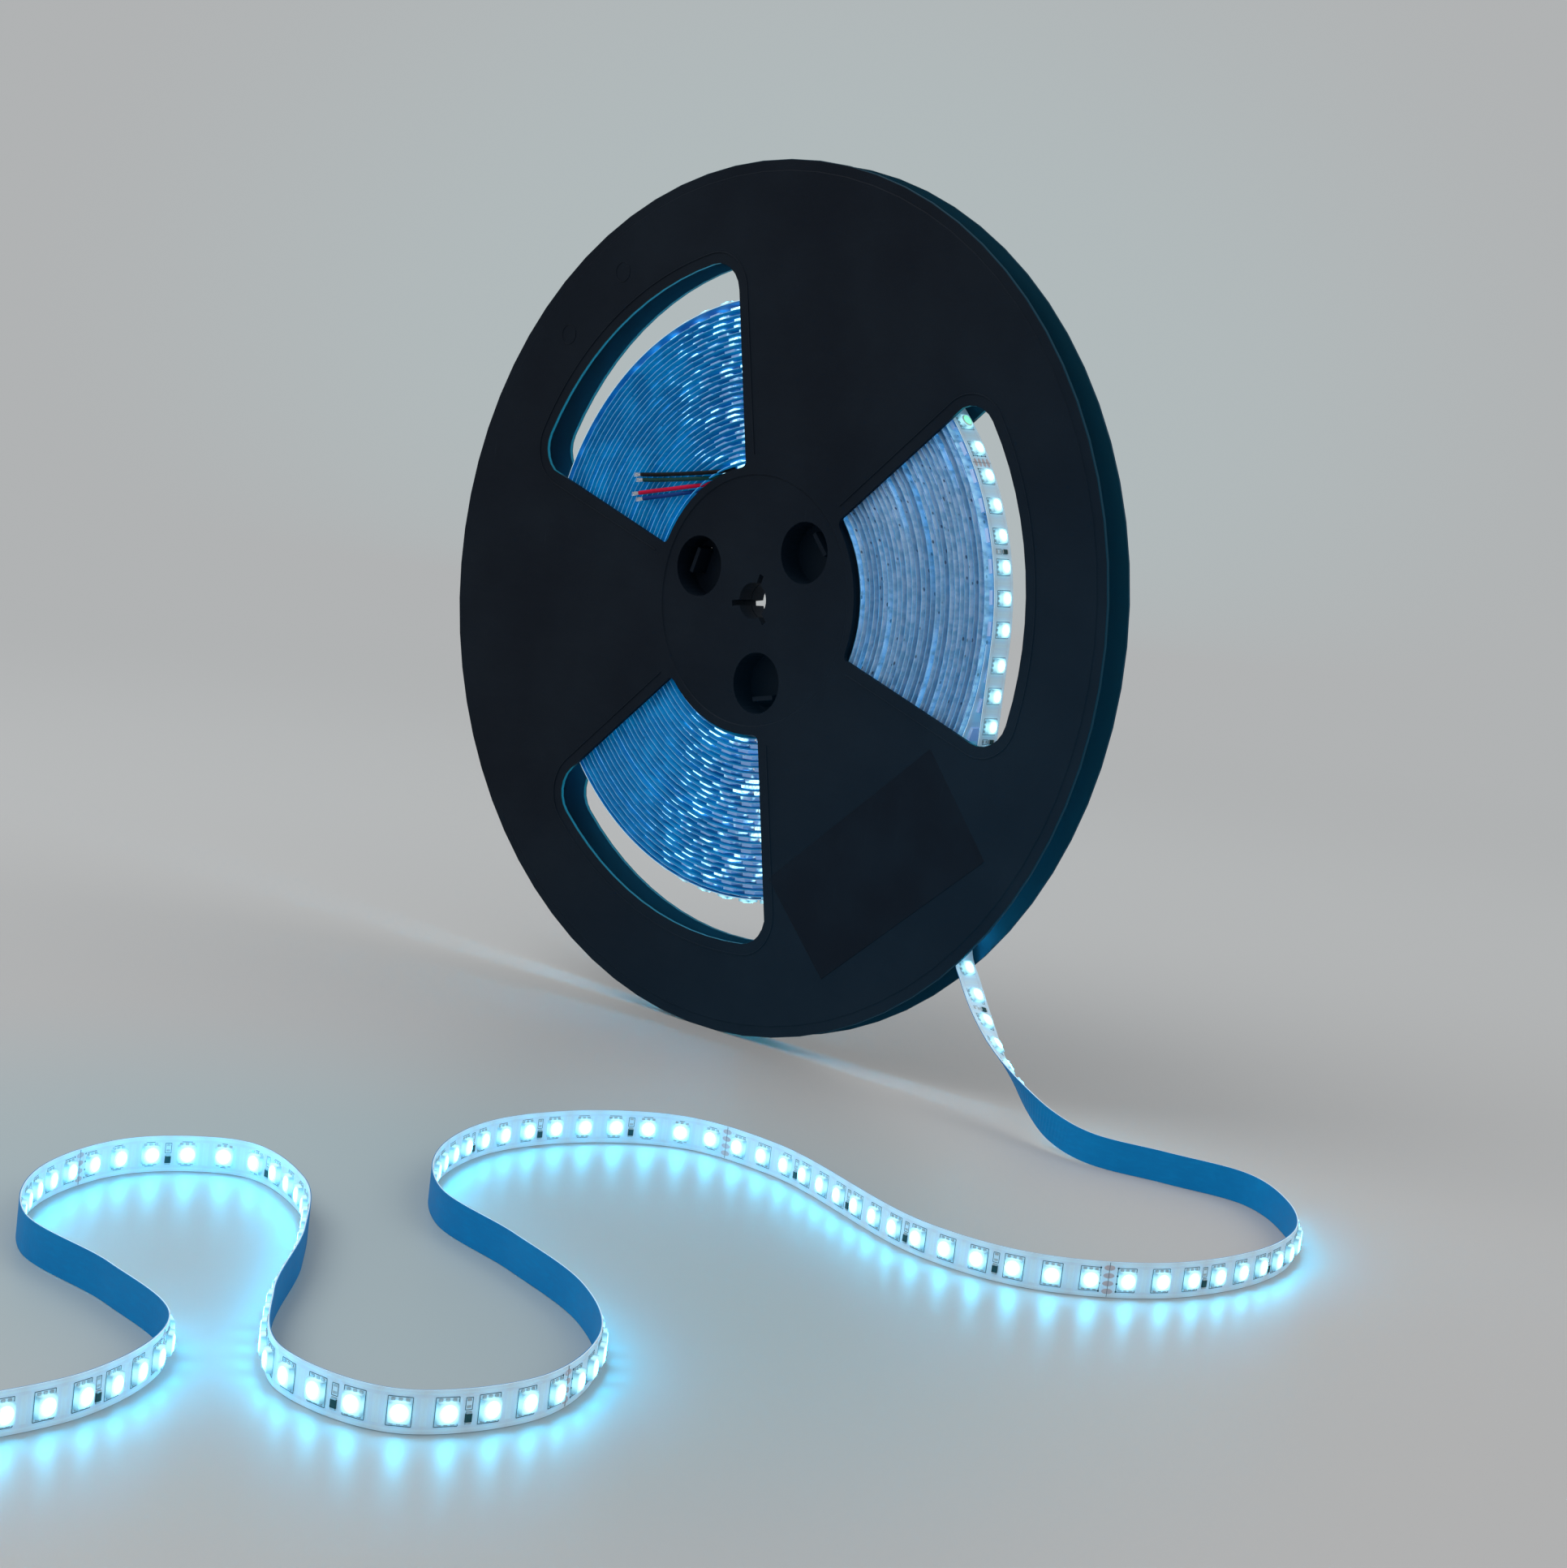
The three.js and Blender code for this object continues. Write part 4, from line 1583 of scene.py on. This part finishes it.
@dataclass
class Leads:
    """The four thin leads of the strip's inner end, with their bared and tinned strands."""

    place: ReelPlace
    diameter: float = 1.5 * MM
    rise: tuple[float, ...] = (2.6, 3.9, 6.05, 6.05, 6.05, 6.05)
    tuck: float = 0.4 * MM
    tip_length: float = 3.9 * MM
    strand_radius: float = 0.17 * MM
    strand_count: int = 7
    strand_reach: float = 2.0
    strand_fray: float = 1.2
    strand_twist: float = 1.8
    sides: int = 14

    def routes(self) -> dict[str, list[tuple[float, float]]]:
        """Each lead's middle line on the reel, in millimetres."""
        return {
            "black": [(-19.5, 45.2), (-25, 43.7), (-32, 42.3), (-42, 40.8), (-53, 39.3), (-63, 38.2)],
            "green": [(-24.2, 42.3), (-29, 40.9), (-35, 39.8), (-44, 38.5), (-54, 37.2), (-61.5, 36.4)],
            "red": [(-28.6, 39.5), (-33, 37.9), (-38.5, 36.5), (-46, 34.9), (-55, 33.1), (-63, 31.4)],
            "blue": [(-32.6, 36.6), (-36.5, 35.1), (-41.5, 33.7), (-48, 32.2), (-55, 30.8), (-60.5, 29.6)],
        }

    def strands(self, end: np.ndarray, way: np.ndarray) -> Shape:
        """Strands twisted together past a jacket's end, one in the middle, as vertices and faces.

        Args:
            end: where the strands start.
            way: the lead's direction there.

        Returns:
            Their vertices and faces.
        """
        steps = np.linspace(0.0, 1.0, 16)
        side = np.cross(way, (0.0, 1.0, 0.0))
        side /= np.linalg.norm(side)
        other = np.cross(way, side)
        vertices, faces = [], []
        for k in range(self.strand_count):
            spread = (self.strand_reach + self.strand_fray * steps * (k % 3)) * self.strand_radius
            turn = k * math.pi / 3 + steps * self.strand_twist
            ring = np.cos(turn)[:, None] * side + np.sin(turn)[:, None] * other
            ring = ring * (spread[:, None] if k else 0.0)
            shape, rows = tube(end + way * (steps * self.tip_length)[:, None] + ring, self.strand_radius, 6)
            first = sum(len(v) for v in vertices)
            vertices.append(shape)
            faces += [tuple(first + i for i in row) for row in rows]
        return np.vstack(vertices), faces

    def build(self, looks: Looks) -> None:
        """Makes the leads.

        Args:
            looks: the materials by name.
        """
        for colour, flat in self.routes().items():
            rows = [self.place.point(x * MM, y * MM, z * MM) for (x, y), z in zip(flat, self.rise)]
            route = Route(rows)
            line = route.at(np.linspace(0.0, route.length, 40))
            jacket, faces = tube(line, self.diameter / 2, self.sides)
            end, way = line[-1], route.along([route.length])[0]
            strands, more = self.strands(end - way * self.tuck, way)
            vertices = np.vstack([jacket, strands])
            both = faces + [tuple(len(jacket) + i for i in face) for face in more]
            materials = [looks["jacket_" + colour], looks["strands"]]
            lead = mesh_piece("lead_wire_" + colour, vertices, both, materials, smooth=True)
            slots = [0] * len(faces) + [1] * len(more)
            lead.data.polygons.foreach_set("material_index", slots)
            settled(lead)
            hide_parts("lead_" + colour, f"lead_{colour}_tip")


@dataclass
class WoundStrip:
    """The strip wound on the drum: its outer turn in full, and the turns below it with lamps between."""

    place: ReelPlace
    ribbon: Ribbon
    parts: FaceParts
    outer: float = 108.45 * MM
    turn_pitch: float = 2.1 * MM
    turns: float = 28.87
    steps: int = 72
    looseness: float = 0.30 * MM
    sway: float = 0.22 * MM
    waves_per_metre: float = 2.3
    bare: float = math.radians(22.0)
    wound_lamp: Point = (5.0 * MM, 5.7 * MM, 1.35 * MM)
    green_lamp: int = 7
    green_swell: float = 1.04
    green_height: float = 0.3 * MM
    joint: float = 1.5 * MM
    thin_face: float = 0.15 * MM
    film_share: float = 0.985

    def spiral(self, shift: float = 0.0) -> Inputs:
        """Inputs of the spiral below the outer turn, set in or out from the board's middle."""
        start = self.outer - self.turn_pitch
        return {
            "Steps": self.steps,
            "Turns": self.turns - 1.0,
            "Outer Radius": start + shift,
            "Inner Radius": start - self.turn_pitch * (self.turns - 1.0) + shift,
            "Axis Place": (0.0, 0.0, self.place.axis_height),
            "Waves Per Metre": self.waves_per_metre,
            "Looseness": self.looseness,
            "Sway": self.sway,
        }

    def outer_frames(self, runs: np.ndarray) -> Frames:
        """The outer turn's middle, direction, width and lamp side at lengths back from the run's start.

        Args:
            runs: the lengths.

        Returns:
            One row of vectors for each of the four.
        """
        angle = runs / (self.outer - self.turn_pitch / 2)
        radius = self.outer - self.turn_pitch * angle / (2 * math.pi)
        zero = np.zeros_like(angle)
        out = np.stack([np.cos(angle), zero, np.sin(angle)], axis=1)
        along = np.stack([np.sin(angle), zero, -np.cos(angle)], axis=1)
        across = np.stack([zero, zero - 1.0, zero], axis=1)
        middle = out * radius[:, None] + np.asarray((0.0, 0.0, self.place.axis_height))
        return middle, along, across, out

    def outer_turn(self, looks: Looks, row: GeometryTree) -> None:
        """Makes the outer turn, dressed as the run is.

        Args:
            looks: the materials by name.
            row: the tree that sets studs on stations.
        """
        length = 2 * math.pi * (self.outer - self.turn_pitch / 2)
        runs = np.linspace(-self.joint, length, 6 * self.steps + 1)
        middle, _, across, out = self.outer_frames(runs)
        board = self.ribbon.sweep(
            "outer_turn_board", -runs, (middle, -across, out), [looks["board_open"], looks["film"]]
        )
        settled(board)

        def stations(places: np.ndarray, name: str) -> Mesh:
            """Loose points on the outer turn's lamp side."""
            foot, along, _, facing = self.outer_frames(places)
            return station_mesh(name, foot + facing * (self.ribbon.thickness / 2), along, facing)

        lamps = math.floor(length * (1 - self.bare / (2 * math.pi)) / self.parts.pitch)
        self.parts.dress("outer_turn_", lamps, True, stations, looks, row)
        spot = stations(np.asarray([(self.green_lamp + 0.5) * self.parts.pitch]), "green_lens")
        size = 2 * self.parts.lens_radius * self.green_swell
        foot = self.parts.lamp_height * self.parts.foot_share
        lens = self.parts.disc((size, size, self.green_height), z=foot, taper=self.parts.lens_taper)
        settled(row.grow("green_lens", spot, {**lens, "Finish": looks["green_lens"]}))

    def build(self, looks: Looks, layer: GeometryTree, studs: GeometryTree, row: GeometryTree) -> None:
        """Makes the roll's pieces.

        Args:
            looks: the materials by name.
            layer: the tree of one wound layer.
            studs: the tree that sets studs along the spiral.
            row: the tree that sets studs on stations.
        """
        empty = bpy.data.meshes.new("empty")
        face = self.thin_face
        film = self.ribbon.thickness - face

        def grown(tree: GeometryTree, name: str, look: str, inputs: Inputs) -> Piece:
            """One piece of the roll, on its body."""
            return settled(tree.grow(name, empty, {**inputs, "Finish": looks[look]}))

        wide = {"Thickness": face, "Width": self.ribbon.width}
        board = grown(layer, "roll_board", "board_wound", {**self.spiral(film / 2), **wide})
        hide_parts("strip_roll")
        wide = {"Thickness": film, "Width": self.ribbon.width * self.film_share}
        grown(layer, "roll_film", "film_wound", {**self.spiral(-face / 2), **wide})
        lamp = self.parts.block(self.wound_lamp, z=self.ribbon.thickness / 2)
        grown(studs, "roll_lamps", "wound_lamp", {**self.spiral(), **lamp, "Pitch": self.parts.pitch})
        self.outer_turn(looks, row)


@dataclass
class FlangeTrim:
    """What is moulded on both flanges: window beads, round marks and a blank plate."""

    place: ReelPlace
    face: float = 6.7 * MM
    bead_radius: float = 0.28 * MM
    bead_offset: float = 4.0 * MM
    window_angles: tuple[float, ...] = (12.5, 132.5, 252.5)
    half_angle: float = 30.0
    window_outer: float = 123.0 * MM
    fillet: float = 11.0 * MM
    bead_foot: float = 52.0 * MM
    mark_places: tuple[tuple[float, float], ...] = ((-84.0, 111.0), (-109.0, 86.0))
    mark_radius: float = 3.6 * MM
    mark_share: float = 0.6
    plate: tuple[tuple[float, float], ...] = ((89.8, -38.1), (119.2, -71.6), (54.2, -126.5), (23.8, -96.3))
    plate_thickness: float = 0.16 * MM
    plate_sunk: float = 0.0001
    plate_inset: float = 0.992

    def bead_line(self, middle: float) -> list[tuple[float, float]]:
        """The line outside one window: up one side, round its outer corners and down the other side.

        Args:
            middle: the angle of the window's middle, in degrees.

        Returns:
            The line's points on the reel.
        """
        far = self.window_outer - self.fillet
        turn = math.asin(self.fillet / far)
        legs = []
        for side in (-1.0, 1.0):
            edge = math.radians(middle + side * self.half_angle)
            corner = edge - side * turn
            foot = (
                self.bead_foot * math.cos(edge) - side * self.bead_offset * math.sin(edge),
                self.bead_foot * math.sin(edge) + side * self.bead_offset * math.cos(edge),
            )
            shares = [i / 12 for i in range(13)]
            angles = [edge + side * (math.pi / 2) * (1 - t) + (corner - edge) * t for t in shares]
            centre = (far * math.cos(corner), far * math.sin(corner))
            legs.append([foot, *on_circle(centre, self.fillet + self.bead_offset, angles)])
        start, end = legs
        first, last = (math.atan2(leg[-1][1], leg[-1][0]) for leg in legs)
        if last < first:
            last += 2 * math.pi
        angles = [first + (last - first) * i / 30 for i in range(1, 30)]
        arc = on_circle((0.0, 0.0), self.window_outer + self.bead_offset, angles)
        return [*start, *arc, *reversed(end)]

    def build(self, looks: Looks, bead: GeometryTree) -> None:
        """Makes the trim of both flanges.

        Args:
            looks: the materials by name.
            bead: the tree that sweeps a bead.
        """
        for side, label in ((1.0, "front"), (-1.0, "rear")):
            level = side * self.face
            for k, middle in enumerate(self.window_angles):
                line = [self.place.point(x, y, level) for x, y in self.bead_line(middle)]
                self.bead(f"window_bead_{label}_{k + 1}", line, False, looks, bead)
            for k, (x, y) in enumerate(self.mark_places):
                ring = on_circle((x * MM, y * MM), self.mark_radius, [i * math.pi / 24 for i in range(48)])
                line = [self.place.point(x, y, level) for x, y in ring]
                self.bead(f"mould_mark_{label}_{k + 1}", line, True, looks, bead)
        self.plate_piece(looks["plate"])

    def bead(self, name: str, line: Any, closed: bool, looks: Looks, tree: GeometryTree) -> None:
        """One bead along a line of points, half sunk in the flange.

        Args:
            name: the piece's name.
            line: the points.
            closed: whether the line is a ring.
            looks: the materials by name.
            tree: the tree that sweeps a bead.
        """
        radius = self.bead_radius * (self.mark_share if closed else 1.0)
        inputs = {"Radius": radius, "Finish": looks["plastic"]}
        settled(tree.grow(name, line_mesh(name, line, closed), inputs))

    def plate_piece(self, look: Material) -> None:
        """The blank plate on the front flange, with chamfered edges.

        Args:
            look: its material.
        """
        corners = np.asarray(self.plate) * MM
        middle = corners.mean(axis=0)
        inset = middle + (corners - middle) * self.plate_inset
        rows = [self.place.point(x, y, self.face - self.plate_sunk) for x, y in corners]
        rows += [self.place.point(x, y, self.face + self.plate_thickness) for x, y in inset]
        faces = [(4, 5, 6, 7), (3, 2, 1, 0)] + [(i, (i + 1) % 4, 4 + (i + 1) % 4, 4 + i) for i in range(4)]
        settled(mesh_piece("blank_plate", rows, faces, [look]))


def make_looks() -> dict[str, Material]:
    """Every material of the object by a short name.

    Returns:
        The materials.
    """
    looks = {
        "plastic": BlackPlastic().material(),
        "plate": PlateGloss().material(),
        "board_open": BoardWhite("board_white_open", StripFace.OPEN).material(),
        "board_wound": BoardWhite("board_white_wound", StripFace.WOUND).material(),
        "film": BackingFilm().material(),
        # The wound film: a darker copy of the film as painted shade between the turns, painted lighter right
        # of the axis, with a painted glow.
        "film_wound": BackingFilm(
            "backing_film_wound",
            tone=(0.0, 0.165, 0.42, 1.0),
            painted_light_right_tone=(0.16, 0.36, 0.60, 1.0),
            lit=(0.0, 0.062, 0.135, 1.0),
        ).material(),
        "lens": LitLens("lamp_lens").material(),
        "green_lens": LitLens("lamp_lens_green", strength=1.5, light=(0.08, 0.9, 0.35, 1.0)).material(),
        "housing": LitHousing().material(),
        "wound_lamp": WoundLamp().material(),
    }
    small = {
        "tin": ("pad_tin", (0.45, 0.52, 0.56, 1.0), (0.62, 0.68, 0.72, 1.0), 0.3, 0.8),
        "copper": ("pad_copper", (0.52, 0.47, 0.52, 1.0), (0.66, 0.60, 0.63, 1.0), 0.45, 0.15),
        "ink": ("outline_ink", (0.02, 0.09, 0.13, 1.0), (0.05, 0.16, 0.21, 1.0), 0.5),
        "ceramic": ("resistor_body", (0.004, 0.05, 0.06, 1.0), (0.012, 0.10, 0.11, 1.0), 0.4),
        "strands": ("tinned_strands", (0.62, 0.63, 0.66, 1.0), (0.80, 0.80, 0.82, 1.0), 0.28, 1.0),
    }
    for look, values in small.items():
        looks[look] = Coated(*values).material()
    jackets = {
        "black": ((0.0015, 0.003, 0.005, 1.0), (0.004, 0.006, 0.009, 1.0)),
        "green": ((0.001, 0.034, 0.034, 1.0), (0.004, 0.060, 0.056, 1.0)),
        "red": ((0.46, 0.001, 0.035, 1.0), (0.62, 0.004, 0.060, 1.0)),
        "blue": ((0.001, 0.030, 0.17, 1.0), (0.003, 0.048, 0.25, 1.0)),
    }
    for colour, (tone, pale) in jackets.items():
        jacket = Coated("jacket_" + colour, tone, pale, 0.38, specular=0.12, grain=900.0, relief=0.00001)
        looks["jacket_" + colour] = jacket.material()
    return looks


def main() -> None:
    """Builds the camera, the cords, the roll, the flanges' trim and the studio, in that order."""
    logging.basicConfig(level=logging.INFO, format="%(message)s")
    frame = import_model()
    PhotoCamera().build()
    looks = make_looks()
    place = ReelPlace()
    ribbon = Ribbon()
    parts = FaceParts()
    row = stud_row_tree()
    StripRun(ribbon, parts).build(looks, row)
    Leads(place).build(looks)
    WoundStrip(place, ribbon, parts).build(looks, wound_layer_tree(), wound_stud_tree(), row)
    for name in ("front_half", "rear_half"):
        frame["nodes"][name].data.materials.clear()
        frame["nodes"][name].data.materials.append(looks["plastic"])
        LOG.info("piece %s: dressed", name)
    FlangeTrim(place).build(looks, bead_tree())
    Studio().build()


if __name__ == "__main__":
    main()
